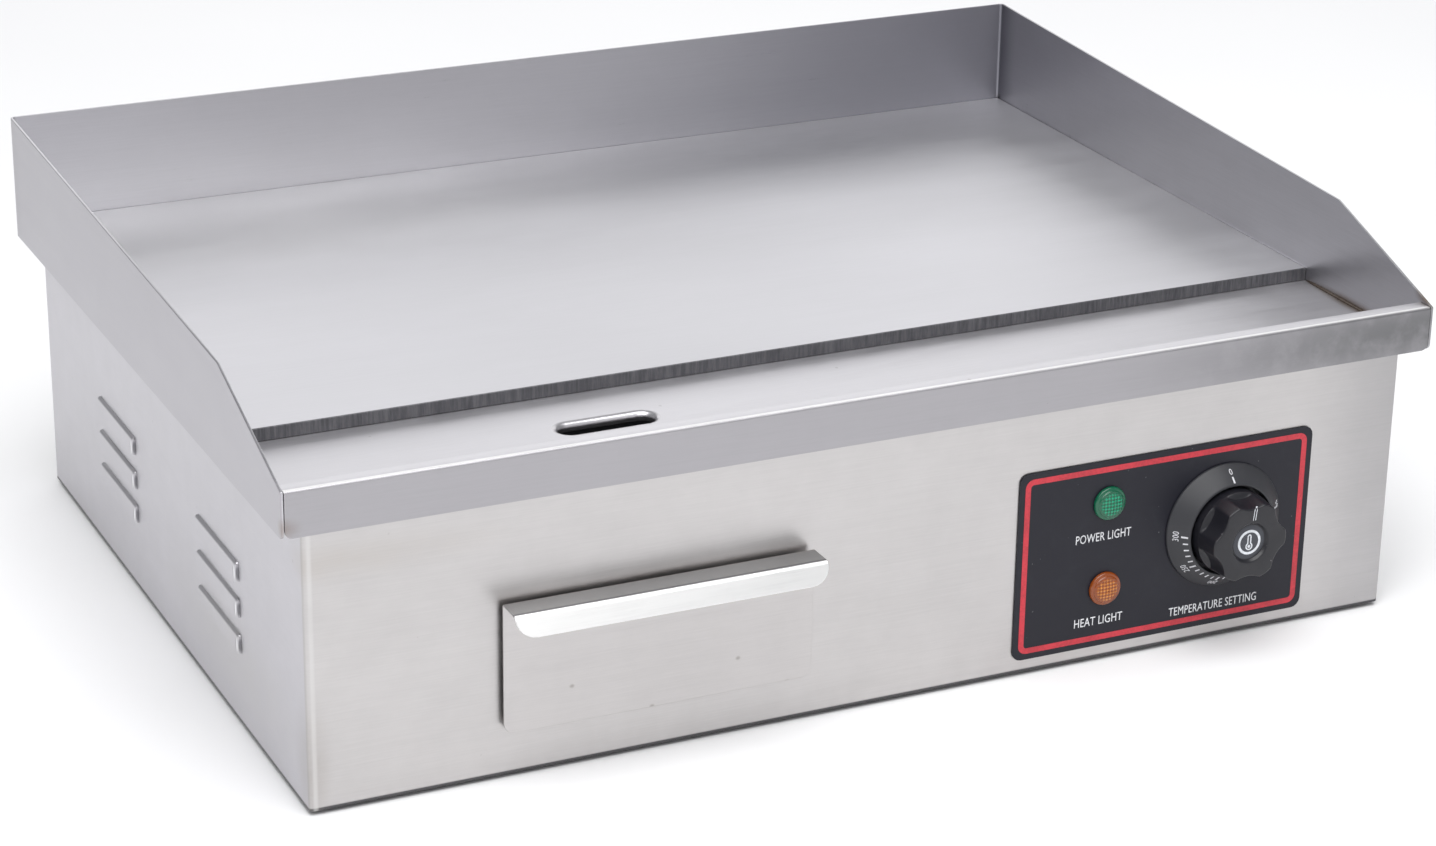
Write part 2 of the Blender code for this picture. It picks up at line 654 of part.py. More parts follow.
def rear_panel():
    x, z = BODY_SIDE - PANEL_MARGIN, BODY_HEIGHT / 2 - PANEL_MARGIN
    middle = (BODY_BOTTOM + BODY_TOP) / 2
    loops = [rectangle(-x, -z, x, z)]
    for place_x, place_z in REAR_SCREW_PLACES:
        loops.append(circle((place_x, place_z - middle), SMALL_SHANK + HOLE_CLEARANCE, 12))
    gland_x = BODY_SIDE - GLAND_INSET
    loops.append(circle((gland_x, BODY_BOTTOM + GLAND_RISE - middle), GLAND_THREAD + GAP, 24))
    for row in (-1, 1):
        for i in range(REAR_SLOTS):
            where = (REAR_SLOT_START + i * REAR_SLOT_PITCH, row * REAR_SLOT_ROW)
            loops.append(obround(*REAR_SLOT, where, 4))
    prism("rear_panel", loops, BODY_SHEET, STAINLESS, "XZ",
          (0.0, BODY_REAR_Y + GAP + BODY_SHEET / 2, middle))


def feet():
    for name, (x, y) in zip(CORNER_NAMES, FOOT_PLACES):
        top, bore = FOOT_HEIGHT - GAP, SMALL_SHANK + HOLE_CLEARANCE
        pad = [(FOOT_RADIUS, top), (FOOT_RADIUS, FOOT_EDGE), (FOOT_RADIUS - FOOT_EDGE, 0.0),
               (FOOT_WELL_RADIUS, 0.0), (FOOT_WELL_RADIUS, FOOT_WELL), (bore, FOOT_WELL),
               (bore, top)]
        turned("foot_" + name, pad, RUBBER, "up", (x, y, 0.0), closed=True, steps=16)
        tip, head = BASE_TOP + 2 * SMALL_SHANK, FOOT_WELL - GAP
        screw = [(0.0, tip), (SMALL_SHANK * 0.7, tip), (SMALL_SHANK, tip - SMALL_SHANK / 2),
                 (SMALL_SHANK, head), (SMALL_HEAD, head), (SMALL_HEAD, GAP), (0.0, GAP)]
        turned("foot_screw_" + name, screw, ZINC, "up", (x, y, 0.0), steps=12)


def rear_screws():
    face = BODY_REAR_Y + GAP + BODY_SHEET + GAP
    for name, (x, z) in zip(REAR_CORNER_NAMES, REAR_SCREW_PLACES):
        head = [(0.0, SMALL_HEAD_HEIGHT), (SMALL_HEAD * 0.6, SMALL_HEAD_HEIGHT * 0.9),
                (SMALL_HEAD * 0.95, SMALL_HEAD_HEIGHT * 0.45), (SMALL_HEAD, 0.0),
                (SMALL_SHANK, 0.0), (SMALL_SHANK, -SMALL_SCREW_REACH + SMALL_SHANK / 2),
                (SMALL_SHANK * 0.6, -SMALL_SCREW_REACH), (0.0, -SMALL_SCREW_REACH)]
        turned("rear_screw_" + name, head, ZINC, "rear", (x, face, z), steps=12)


def top_screws():
    under = BODY_TOP - BODY_SHEET - GAP
    tip = PLATE_BOTTOM + BLIND_DEPTH - 2 * GAP
    for name, (x, y) in zip(CORNER_NAMES, TOP_SCREW_PLACES):
        bolt("top_screw_" + name, (x, y, under), tip - under, TOP_SCREW_HEAD, ZINC)


def bolt(name, under_head, length, head_radius, look):
    """A cap screw that points up; under_head is the middle of its bearing face."""
    profile = [(0.0, length), (SCREW_SHANK - 0.0006, length), (SCREW_SHANK, length - 0.0006),
               (SCREW_SHANK, 0.0), (head_radius, 0.0), (head_radius, -SCREW_HEAD_HEIGHT + 0.0004),
               (head_radius - 0.0004, -SCREW_HEAD_HEIGHT), (0.0, -SCREW_HEAD_HEIGHT)]
    turned(name, profile, look, "up", under_head, steps=12)


# ---------------------------------------------------------------- top
def splash_guard():
    side = GUARD_WIDTH / 2
    plan = [(side, RIM_Y), (side, GUARD_REAR_Y), (-side, GUARD_REAR_Y), (-side, RIM_Y)]
    rear_top = GUTTER_FLOOR + GUARD_REAR_RISE
    guard = folded("splash_guard", plan, rear_top - TRAY_BOTTOM, GUARD_SHEET, GUARD_CORNER,
                   STAINLESS, "XY", (0.0, 0.0, (rear_top + TRAY_BOTTOM) / 2))
    floor = (TRAY_BOTTOM - rear_top) / 2

    def toe(a, b):
        across = abs(a.x - b.x) > GUARD_SHEET / 2
        return across and max(a.y, b.y) < RIM_Y + MERGE and max(a.z, b.z) < floor + MERGE

    round_edges(guard, toe, GUARD_TOE)
    rim = GUTTER_FLOOR + RIM_RISE
    bend = (RIM_Y + GUARD_BEND_SETBACK, GUTTER_FLOOR + GUARD_BEND_RISE)
    slope = (bend[1] - rim) / GUARD_BEND_SETBACK
    ahead = 0.010
    above = rear_top + 0.020
    trim = [(RIM_Y - ahead, rim - slope * ahead), bend, (GUARD_REAR_Y - GUARD_CORNER, rear_top),
            (GUARD_REAR_Y - GUARD_CORNER, above), (RIM_Y - ahead, above)]
    boolean(guard, prism("guard_trim", [trim], GUARD_WIDTH + 0.02, None, "YZ"))


def gutter_tray():
    inner = RIM_Y + RIM_TOP
    top = GUTTER_FLOOR + RIM_RISE
    profile = [(PLATE_REAR_Y, GUTTER_FLOOR), (inner, GUTTER_FLOOR), (inner, top), (RIM_Y, top),
               (RIM_Y, GUTTER_FLOOR - TRAY_SKIRT)]
    tray = folded("gutter_tray", profile, 2 * TRAY_SIDE, TRAY_SHEET, RIM_BEND, STAINLESS, "YZ")

    def rear_corner(a, b):
        upright = abs(a.y - b.y) > TRAY_SHEET / 2
        return upright and min(a.x, b.x) > PLATE_REAR_Y - MERGE

    round_edges(tray, rear_corner, GUARD_CORNER)

    def toe(a, b):
        through = abs(a.x - b.x) > TRAY_SHEET / 2
        low = max(a.y, b.y) < GUTTER_FLOOR - TRAY_SKIRT + MERGE
        return through and low and max(a.x, b.x) < inner

    round_edges(tray, toe, GUARD_TOE)
    boolean(tray, block("heater_opening",
                        (-OPENING_SIDE, OPENING_FRONT_Y, TRAY_BOTTOM - 0.01),
                        (OPENING_SIDE, OPENING_REAR_Y, GUTTER_FLOOR + 0.01)))
    slot = obround(DRAIN_LENGTH + 2 * DRAIN_LIP, DRAIN_WIDTH + 2 * DRAIN_LIP,
                   (DRAWER_X, RIM_Y + DRAIN_SETBACK))
    boolean(tray, prism("drain_slot", [slot], 0.02, None, "XY", (0.0, 0.0, GUTTER_FLOOR)))
    tops = [(x, y, GUTTER_FLOOR) for x, y in TOP_SCREW_PLACES]
    boolean(tray, holes("tray_screw_holes", tops, SCREW_SHANK + HOLE_CLEARANCE, (0, 0, 1), 0.004))


def clamp_places():
    gaps = [(a + b) / 2 for a, b in zip(RUN_YS, RUN_YS[1:])]
    return corners(CLAMP_X, gaps)


def bolt_places():
    return [(x, RUN_YS[1]) for x in (-CLAMP_X - BOLT_OUTSIDE, BOLT_MIDDLE)]


def griddle_plate():
    reach, turn = TRAY_SIDE - GUARD_CORNER, PLATE_REAR_Y - GUARD_CORNER
    outline = [(-TRAY_SIDE, PLATE_FRONT_Y), (TRAY_SIDE, PLATE_FRONT_Y)]
    outline += arc((reach, turn), GUARD_CORNER, 0, 90, 4)
    outline += arc((-reach, turn), GUARD_CORNER, 90, 180, 4)
    plate = prism("griddle_plate", [outline], PLATE_THICKNESS, MILLED_STEEL, "XY",
                  (0.0, 0.0, (PLATE_BOTTOM + PLATE_TOP) / 2))

    def upper(a, b):
        return min(a.z, b.z) > PLATE_THICKNESS / 2 - MERGE

    round_edges(plate, upper, PLATE_EDGE, 2)
    places = TOP_SCREW_PLACES + clamp_places() + bolt_places()
    blind = [(x, y, PLATE_BOTTOM) for x, y in places]
    boolean(plate, holes("blind_holes", blind, SCREW_SHANK + HOLE_CLEARANCE, (0, 0, 1),
                         BLIND_DEPTH))


def drain_chute():
    top = TRAY_BOTTOM - GAP
    end = DRAWER_TOP + CHUTE_CLEARANCE
    length, width = DRAIN_LENGTH + 2 * CHUTE_WALL, DRAIN_WIDTH + 2 * CHUTE_WALL
    where = (DRAWER_X, RIM_Y + DRAIN_SETBACK)
    flange = obround(length + 2 * CHUTE_FLANGE, width + 2 * CHUTE_FLANGE)
    chute = prism("drain_chute", [flange], CHUTE_WALL, STAINLESS, "XY",
                  (*where, top - CHUTE_WALL / 2))
    column = prism("chute_column", [obround(length, width)], top - CHUTE_WALL / 2 - end, None,
                   "XY", (*where, (top - CHUTE_WALL / 2 + end) / 2))
    boolean(chute, column, "UNION")
    bore = prism("chute_bore", [obround(DRAIN_LENGTH, DRAIN_WIDTH)], 0.2, None, "XY",
                 (*where, top))
    boolean(chute, bore)


# ---------------------------------------------------------------- drawer
def drawer():
    carrier = bpy.data.objects.new("drawer_slide", None)
    carrier.location = (DRAWER_X, DRAWER_BACK_Y, DRAWER_BOTTOM)
    PARTS.objects.link(carrier)
    bottom, top = BODY_BOTTOM + FRONT_BOTTOM, BODY_BOTTOM + FRONT_TOP
    handle_y = DRAWER_BACK_Y - FRONT_SHEET - HANDLE_REACH
    lip_end = (handle_y - HANDLE_LIP * math.sin(HANDLE_TILT),
               top - HANDLE_LIP * math.cos(HANDLE_TILT))
    profile = [(DRAWER_BACK_Y, bottom), (DRAWER_BACK_Y, top), (handle_y, top), lip_end]
    shifted = [(y - DRAWER_BACK_Y, z - DRAWER_BOTTOM) for y, z in profile]
    front = folded("drawer_front", shifted, FRONT_WIDTH, FRONT_SHEET, HANDLE_BEND, STAINLESS,
                   "YZ", (DRAWER_X, DRAWER_BACK_Y, DRAWER_BOTTOM), carrier)

    def corner_at(level):
        def wanted(a, b):
            through = abs(a.x - b.x) > FRONT_SHEET / 2 and abs(a.z - b.z) < MERGE
            ends = abs(a.y - level), abs(b.y - level)
            low = min(ends) < MERGE and max(ends) < FRONT_SHEET / 2
            return through and low and abs(a.z) > FRONT_WIDTH / 2 - MERGE
        return wanted

    round_edges(front, corner_at(bottom - DRAWER_BOTTOM), FRONT_CORNER)
    round_edges(front, corner_at(lip_end[1] - DRAWER_BOTTOM), HANDLE_CORNER, 6)
    near = DRAWER_BACK_Y + GAP
    half = DRAWER_WIDTH / 2
    tray = block("drawer_tray", (DRAWER_X - half - DRAWER_LIP, near, DRAWER_BOTTOM),
                 (DRAWER_X + half + DRAWER_LIP, near + DRAWER_DEPTH, DRAWER_TOP), STAINLESS,
                 parent=carrier)
    clear = 0.01
    under = DRAWER_TOP - DRAWER_SHEET
    sides = [block(f"lip_space_{side}",
                   (DRAWER_X + min(side * half, side * (half + clear)), near - clear,
                    DRAWER_BOTTOM - clear),
                   (DRAWER_X + max(side * half, side * (half + clear)),
                    near + DRAWER_DEPTH + clear, under)) for side in (-1, 1)]
    inside = block("tray_inside",
                   (DRAWER_X - half + DRAWER_SHEET, near + DRAWER_SHEET,
                    DRAWER_BOTTOM + DRAWER_SHEET),
                   (DRAWER_X + half - DRAWER_SHEET, near + DRAWER_DEPTH - DRAWER_SHEET,
                    DRAWER_TOP + clear))
    boolean(tray, several("tray_spaces", sides + [inside]))


def drawer_rails():
    start = PANEL_BACK_Y + GAP
    low = BASE_TOP + GAP
    high = DRAWER_TOP - DRAWER_SHEET - GAP
    reach = DRAWER_WIDTH / 2 + RAIL_SIDE_CLEARANCE
    for name, side in (("left", -1), ("right", 1)):
        profile = [(side * (reach + RAIL_FOOT), low), (side * reach, low), (side * reach, high),
                   (side * (reach + DRAWER_LIP), high)]
        if side > 0:
            profile.reverse()
        folded("drawer_rail_" + name, profile, RAIL_LENGTH, RAIL_SHEET, RAIL_BEND, ZINC, "XZ",
               (DRAWER_X, start + RAIL_LENGTH / 2, 0.0))


# ---------------------------------------------------------------- controls
def control_label():
    loops = [rounded_rectangle(LABEL_WIDTH, LABEL_HEIGHT, LABEL_CORNER)]
    for rise in LAMP_RISES.values():
        loops.append(circle((LAMP_X - LABEL_X, BODY_BOTTOM + rise - LABEL_Z), LAMP_RADIUS + GAP))
    loops.append(circle((DIAL_X - LABEL_X, DIAL_Z - LABEL_Z), NECK_RADIUS + GAP))
    prism("control_label", loops, LABEL_SHEET, SLATE_LABEL, "XZ",
          (LABEL_X, PANEL_Y - GAP - LABEL_SHEET / 2, LABEL_Z))


def lamps():
    face = LABEL_FACE_Y - GAP
    for name, look in (("power", GREEN_LENS), ("heat", AMBER_LENS)):
        z = BODY_BOTTOM + LAMP_RISES[name]
        dome = [(0.0, LENS_HEIGHT), (0.0040, LENS_HEIGHT - 0.0003), (0.0066, 0.0024),
                (0.0076, 0.0015), (LENS_RADIUS, 0.0008), (LENS_RADIUS, 0.0), (0.0, 0.0)]
        turned(f"{name}_lamp_lens", dome, look, "front", (LAMP_X, face, z), steps=20)
        rod(f"{name}_lamp_body", LAMP_RADIUS, (LAMP_X, face + GAP, z),
            (LAMP_X, face + GAP + LAMP_LENGTH, z), NYLON, 20)


def dial_and_knob():
    dial = (DIAL_X, LABEL_FACE_Y - GAP, DIAL_Z)
    bore = NECK_RADIUS + GAP
    ring = [(BEZEL_MOUTH + BEZEL_LIP, BEZEL_HEIGHT), (BEZEL_RADIUS, 0.0009), (BEZEL_RADIUS, 0.0),
            (bore, 0.0), (bore, BEZEL_FLOOR), (BEZEL_MOUTH, BEZEL_FLOOR),
            (BEZEL_MOUTH, BEZEL_HEIGHT)]
    turned("dial_bezel", ring, BLACK_PLASTIC, "front", dial, closed=True, steps=40)

    width, depth, height = THERMOSTAT_SIZE
    back = PANEL_BACK_Y + GAP
    case = block("thermostat_body", (DIAL_X - width / 2, back, DIAL_Z - height / 2),
                 (DIAL_X + width / 2, back + depth, DIAL_Z + height / 2), CERAMIC, 0.001)
    neck_end = dial[1] - BEZEL_FLOOR - NECK_PROUD
    boolean(case, rod("neck", NECK_RADIUS, (DIAL_X, back + 4 * BODY_SHEET, DIAL_Z),
                      (DIAL_X, neck_end, DIAL_Z), steps=24), "UNION")
    shaft_back = neck_end - KNOB_CAVITY + SHAFT_LENGTH - SHAFT_IN_KNOB
    well = SHAFT_RADIUS + SHAFT_CLEARANCE
    boolean(case, rod("shaft_well", well, (DIAL_X, neck_end - 0.01, DIAL_Z),
                      (DIAL_X, shaft_back + 0.002, DIAL_Z), steps=20))

    turner = bpy.data.objects.new("knob_turn", None)
    turner.location = (DIAL_X, PANEL_Y - KNOB_REACH, DIAL_Z)
    PARTS.objects.link(turner)
    face = PANEL_Y - KNOB_REACH
    rear = dial[1] - BEZEL_FLOOR - KNOB_CLEARANCE
    tall = rear - face
    # heights count from the knob's rear towards its face
    body = [(CAP_RADIUS + GAP, tall), (KNOB_FACE_RADIUS - 0.0010, tall),
            (KNOB_FACE_RADIUS - 0.0003, tall - 0.0003), (KNOB_FACE_RADIUS, tall - 0.0010),
            (KNOB_BASE_RADIUS, KNOB_SKIRT), (KNOB_BASE_RADIUS, 0.0),
            (KNOB_CAVITY_RADIUS, 0.0), (KNOB_CAVITY_RADIUS, KNOB_CAVITY), (well, KNOB_CAVITY),
            (well, KNOB_CAVITY + SHAFT_IN_KNOB), (0.0, KNOB_CAVITY + SHAFT_IN_KNOB)]
    inside = [(0.0, tall - CAP_RECESS), (CAP_RADIUS + GAP, tall - CAP_RECESS)]
    knob = turned("control_knob", inside + body, BLACK_PLASTIC, "front", (DIAL_X, rear, DIAL_Z),
                  steps=36, parent=turner)
    flutes = []
    offset = KNOB_FACE_RADIUS - KNOB_FLUTE_DEPTH + KNOB_FLUTE_RADIUS
    for i in range(KNOB_FLUTES):
        angle = math.radians(i * 360 / KNOB_FLUTES)
        x, z = DIAL_X + offset * math.sin(angle), DIAL_Z + offset * math.cos(angle)
        flutes.append(rod(f"flute_{i}", KNOB_FLUTE_RADIUS, (x, rear - KNOB_SKIRT, z),
                          (x, face - 0.01, z), steps=24))
    boolean(knob, several("knob_flutes", flutes))
    cap_back = face + CAP_RECESS - GAP
    rod("knob_cap", CAP_RADIUS, (DIAL_X, cap_back - CAP_SHEET, DIAL_Z),
        (DIAL_X, cap_back, DIAL_Z), BLACK_PLASTIC, 32, turner)
    shaft_front = rear - KNOB_CAVITY - SHAFT_IN_KNOB + GAP
    rod("thermostat_shaft", SHAFT_RADIUS, (DIAL_X, shaft_front, DIAL_Z),
        (DIAL_X, shaft_back, DIAL_Z), BRASS, 20, turner)


# ---------------------------------------------------------------- heating
def heating_elements():
    names = ("front", "middle", "rear")
    turn_x = -OPENING_SIDE + ELEMENT_END_INSET
    legs = [OPENING_SIDE - inset for inset in LEG_INSETS]
    radii = (ELEMENT_BEND, ELEMENT_TURN - MERGE, ELEMENT_TURN - MERGE, ELEMENT_BEND)
    for name, y in zip(names, RUN_YS):
        near, far = y - ELEMENT_TURN, y + ELEMENT_TURN
        route = [(legs[0], near, LEG_BOTTOM), (legs[0], near, RUN_Z), (turn_x, near, RUN_Z),
                 (turn_x, far, RUN_Z), (legs[1], far, RUN_Z), (legs[1], far, LEG_BOTTOM)]
        tube(f"heating_element_{name}", rounded_path(route, radii), ELEMENT_RADIUS, INCOLOY)
    for name, x, side in (("live", legs[0], -1), ("neutral", legs[1], 1)):
        ends = [y + side * ELEMENT_TURN for y in RUN_YS]
        block("link_bar_" + name,
              (x - LINK_WIDTH / 2, ends[0] - LINK_WIDTH, LEG_BOTTOM - GAP - LINK_THICKNESS),
              (x + LINK_WIDTH / 2, ends[-1] + LINK_WIDTH, LEG_BOTTOM - GAP), BRASS)


def clamp_bars():
    bottom = CLAMP_TOP - CLAMP_THICKNESS
    near, far = OPENING_FRONT_Y + CLAMP_END_INSET, OPENING_REAR_Y - CLAMP_END_INSET
    for name, x in (("left", -CLAMP_X), ("right", CLAMP_X)):
        bar = block("clamp_bar_" + name, (x - CLAMP_WIDTH / 2, near, bottom),
                    (x + CLAMP_WIDTH / 2, far, CLAMP_TOP), ZINC)
        places = [(px, py, bottom) for px, py in clamp_places() if px * x > 0]
        boolean(bar, holes(f"clamp_holes_{name}", places, SCREW_SHANK + HOLE_CLEARANCE,
                           (0, 0, 1), 0.01))
    tip = PLATE_BOTTOM + BLIND_DEPTH - 2 * GAP
    under = bottom - GAP
    for name, (x, y) in zip(CORNER_NAMES, clamp_places()):
        bolt("clamp_screw_" + name, (x, y, under), tip - under, SCREW_HEAD, ZINC)


def shield_and_blanket():
    left = -OPENING_SIDE + SHIELD_LEFT_INSET
    right = OPENING_SIDE - SHIELD_END_INSET
    near, far = OPENING_FRONT_Y - SHIELD_MARGIN, OPENING_REAR_Y + SHIELD_MARGIN / 2
    bottom = SHIELD_TOP - SHIELD_SHEET
    profile = [(near, SHIELD_TOP + SHIELD_LIP), (near, bottom), (far, bottom),
               (far, SHIELD_TOP + SHIELD_LIP)]
    shield = folded("heat_shield", profile, right - left, SHIELD_SHEET, SHIELD_BEND, ZINC, "YZ",
                    ((left + right) / 2, 0.0, 0.0))
    places = [(x, y, SHIELD_TOP) for x, y in bolt_places()]
    boolean(shield, holes("shield_holes", places, SCREW_SHANK + HOLE_CLEARANCE, (0, 0, 1), 0.004))
    inner_near, inner_far = near + BLANKET_MARGIN, far - BLANKET_MARGIN
    loops = [rectangle(left + BLANKET_MARGIN, inner_near, right - BLANKET_MARGIN, inner_far)]
    loops += [circle(place_xy, SCREW_SHANK + HOLE_CLEARANCE, 16) for place_xy in bolt_places()]
    prism("insulation_blanket", loops, BLANKET_THICKNESS, FIBRE, "XY",
          (0.0, 0.0, SHIELD_TOP + GAP + BLANKET_THICKNESS / 2))
    under = bottom - GAP
    tip = PLATE_BOTTOM + BLIND_DEPTH - 2 * GAP
    for name, (x, y) in zip(("left", "right"), bolt_places()):
        bolt("shield_bolt_" + name, (x, y, under), tip - under, SCREW_HEAD, ZINC)


def sensor():
    y = (RUN_YS[0] + RUN_YS[1]) / 2
    z = PLATE_BOTTOM - GAP - BULB_RADIUS
    end = BULB_START + BULB_LENGTH
    rod("sensor_bulb", BULB_RADIUS, (BULB_START, y, z), (end, y, z), COPPER, 16)
    low = CLAMP_TOP - CLAMP_THICKNESS - CAPILLARY_RADIUS - 2 * GAP
    aside = y - SCREW_HEAD - 0.005
    fall_x = OPENING_SIDE - SHIELD_END_INSET + 0.007
    dip_x = end + 0.006
    over_z = DIAL_Z + 0.020
    port = (DIAL_X + 0.014, THERMOSTAT_BACK_Y + GAP, DIAL_Z + 0.010)
    route = [(end + GAP, y, z), (dip_x, y, z), (dip_x, aside, low), (fall_x, aside, low),
             (fall_x, aside, over_z), (port[0], port[1] + 0.030, port[2]), port]
    tube("capillary_tube", rounded_path(route, (0.003, 0.003, 0.006, 0.010, 0.006)),
         CAPILLARY_RADIUS, COPPER)


# ---------------------------------------------------------------- wiring and inlet
def wiring():
    legs = [OPENING_SIDE - inset for inset in LEG_INSETS]
    bar_under = LEG_BOTTOM - 2 * GAP - LINK_THICKNESS
    block_x = BODY_SIDE - BLOCK_CENTRE[0]
    block_y = BODY_REAR_Y - BLOCK_CENTRE[1]
    low = BASE_TOP + GAP
    width, depth, height = BLOCK_SIZE
    block("terminal_block", (block_x - width / 2, block_y - depth / 2, low),
          (block_x + width / 2, block_y + depth / 2, low + height), CERAMIC, 0.001)
    start_y = block_y - depth / 2 - GAP
    lead_z = low + height * 0.7
    back = THERMOSTAT_BACK_Y + GAP
    supply_x = DIAL_X - 0.010
    supply = [(supply_x, start_y, lead_z), (supply_x, start_y - 0.080, lead_z),
              (supply_x, back + 0.060, DIAL_Z - 0.010), (supply_x, back, DIAL_Z - 0.010)]
    tube("supply_lead", rounded_path(supply, (0.02, 0.02)), LEAD_RADIUS, NYLON)
    out_x = DIAL_X + 0.010
    rise_y = RUN_YS[0] - ELEMENT_TURN
    switched = [(out_x, back, DIAL_Z - 0.010), (out_x, back + 0.045, DIAL_Z - 0.010),
                (legs[0], rise_y, DIAL_Z + 0.005), (legs[0], rise_y, bar_under)]
    tube("switched_lead", rounded_path(switched, (0.02, 0.008)), LEAD_RADIUS, NYLON)
    rise_y = RUN_YS[1] + ELEMENT_TURN
    out_x = block_x + 0.016
    neutral = [(out_x, start_y, lead_z), (out_x, start_y - 0.030, lead_z),
               (legs[1], rise_y, lead_z + 0.022), (legs[1], rise_y, bar_under)]
    tube("neutral_lead", rounded_path(neutral, (0.01, 0.01)), LEAD_RADIUS, NYLON)


def cable_gland():
    x, z = BODY_SIDE - GLAND_INSET, BODY_BOTTOM + GLAND_RISE
    outside = BODY_REAR_Y + GAP + BODY_SHEET + GAP
    head = [(GLAND_HEX - 0.0012, GLAND_PROUD), (GLAND_HEX, GLAND_PROUD - 0.0015),
            (GLAND_HEX, 0.0), (GLAND_THREAD, 0.0), (GLAND_THREAD, -GLAND_INSIDE),
            (GLAND_BORE, -GLAND_INSIDE), (GLAND_BORE, GLAND_PROUD)]
    turned("cable_gland", head, BLACK_PLASTIC, "rear", (x, outside, z), closed=True, steps=16)
    nut = [(GLAND_HEX, GLAND_NUT), (GLAND_HEX, 0.0), (GLAND_THREAD + GAP, 0.0),
           (GLAND_THREAD + GAP, GLAND_NUT)]
    turned("gland_locknut", nut, BLACK_PLASTIC, "front", (x, BODY_REAR_Y, z), closed=True,
           steps=16)


def build():
    body_shell()
    base_plate()
    rear_panel()
    feet()
    rear_screws()
    top_screws()
    splash_guard()
    gutter_tray()
    griddle_plate()
    drain_chute()
    drawer()
    drawer_rails()
    control_label()
    lamps()
    dial_and_knob()
    heating_elements()
    clamp_bars()
    shield_and_blanket()
    sensor()
    wiring()
    cable_gland()


build()
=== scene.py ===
"""Looks for the countertop griddle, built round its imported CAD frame.

Metres, +Z up, front towards -Y, +X to the right as seen from the front. Each sub-assembly is a
class that reads its place from the frame, builds its meshes as numpy surfaces or as clean copies
of the CAD sheets, and dresses them with procedural finishes.
"""
import logging
import math
from dataclasses import dataclass, field
from enum import Enum
from typing import Any, Callable, Iterable, Sequence

import bmesh
import bpy
import numpy as np
from mathutils import Matrix, Vector


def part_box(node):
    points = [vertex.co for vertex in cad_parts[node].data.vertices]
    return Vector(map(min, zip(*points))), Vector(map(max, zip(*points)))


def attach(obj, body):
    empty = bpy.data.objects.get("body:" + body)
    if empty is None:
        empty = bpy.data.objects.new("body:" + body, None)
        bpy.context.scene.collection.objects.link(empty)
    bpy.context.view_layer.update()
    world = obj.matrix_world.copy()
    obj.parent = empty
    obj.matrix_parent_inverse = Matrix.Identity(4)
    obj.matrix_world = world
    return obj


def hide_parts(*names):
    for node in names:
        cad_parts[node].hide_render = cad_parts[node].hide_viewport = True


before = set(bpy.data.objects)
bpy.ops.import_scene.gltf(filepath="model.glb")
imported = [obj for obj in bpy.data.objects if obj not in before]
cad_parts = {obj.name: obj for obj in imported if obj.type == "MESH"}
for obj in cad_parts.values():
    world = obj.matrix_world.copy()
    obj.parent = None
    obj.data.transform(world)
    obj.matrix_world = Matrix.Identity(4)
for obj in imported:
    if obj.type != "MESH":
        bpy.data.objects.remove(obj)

LOG = logging.getLogger("griddle")
Colour = tuple[float, float, float]
Point = tuple[float, float, float]
Grids = tuple[np.ndarray, np.ndarray]
Shaping = Callable[[np.ndarray, np.ndarray, np.ndarray], Grids]
MM = 0.001
TURN = 2.0 * math.pi
CORNERS = ("front_left", "front_right", "rear_left", "rear_right")
FACET = 1.6 * MM    # pitch of the lamp lenses' facets
FILM = 0.06 * MM    # thickness of the printed marks
MERGE = 0.002 * MM  # points nearer than this become one
LEVEL = 0.2         # degrees up to which neighbouring CAD triangles become one face
SHARP = 32.0        # degrees from which a CAD sheet's edge is softened, or stays sharp
BEND_LIMIT = 0.49   # share of a side that a fillet may take
SHEET = 1.2 * MM    # thickness of the gutter's floor
CLEAR = 1e-6        # lengths below this count as none
SPOT_WELDS = (      # across and height of the spot welds on the drawer's front
    (-0.1485, 0.0394), (-0.0712, 0.0378), (-0.1115, 0.0228), (-0.0474, 0.0222))
WORDS = (           # text, then its middle across, its height, and the space that it fills
    ("POWER LIGHT", 0.1108, 0.0624, 0.0285, 0.0042),
    ("HEAT LIGHT", 0.1105, 0.0210, 0.0250, 0.0042),
    ("TEMPERATURE SETTING", 0.1714, 0.0178, 0.0470, 0.0042))


# ------------------------------------------------------------------ shader graphs
def arithmetic(operation: str, swapped: bool = False) -> Callable[["Socket", Any], "Socket"]:
    """A method that puts a Math node between a socket and another value.

    Args:
        operation: the Math node's operation.
        swapped: whether the other value comes first.

    Returns:
        The method, which gives the node's output.
    """
    def method(self: "Socket", other: Any) -> "Socket":
        """The two values through the Math node."""
        return self.maths(operation, *((other, self) if swapped else (self, other)))

    return method


class Socket:
    """A node's output that takes part in Python arithmetic, which adds Math nodes."""

    __add__, __radd__ = arithmetic("ADD"), arithmetic("ADD", True)
    __sub__, __rsub__ = arithmetic("SUBTRACT"), arithmetic("SUBTRACT", True)
    __mul__, __rmul__ = arithmetic("MULTIPLY"), arithmetic("MULTIPLY", True)

    def __init__(self, graph: "Graph", output: bpy.types.NodeSocket) -> None:
        """Keeps the graph and the node's output."""
        self.graph = graph
        self.output = output

    def maths(self, operation: str, *values: Any) -> "Socket":
        """Adds a Math node of that operation on the given values."""
        return self.graph.node("ShaderNodeMath", {"operation": operation}, dict(enumerate(values)))

    def ramp(self, low: float, high: float, first: float = 0.0, last: float = 1.0) -> "Socket":
        """A smooth step from first to last as the value goes from low to high."""
        return self.graph.node("ShaderNodeMapRange", {"interpolation_type": "SMOOTHSTEP"},
                               {0: self, 1: low, 2: high, 3: first, 4: last})


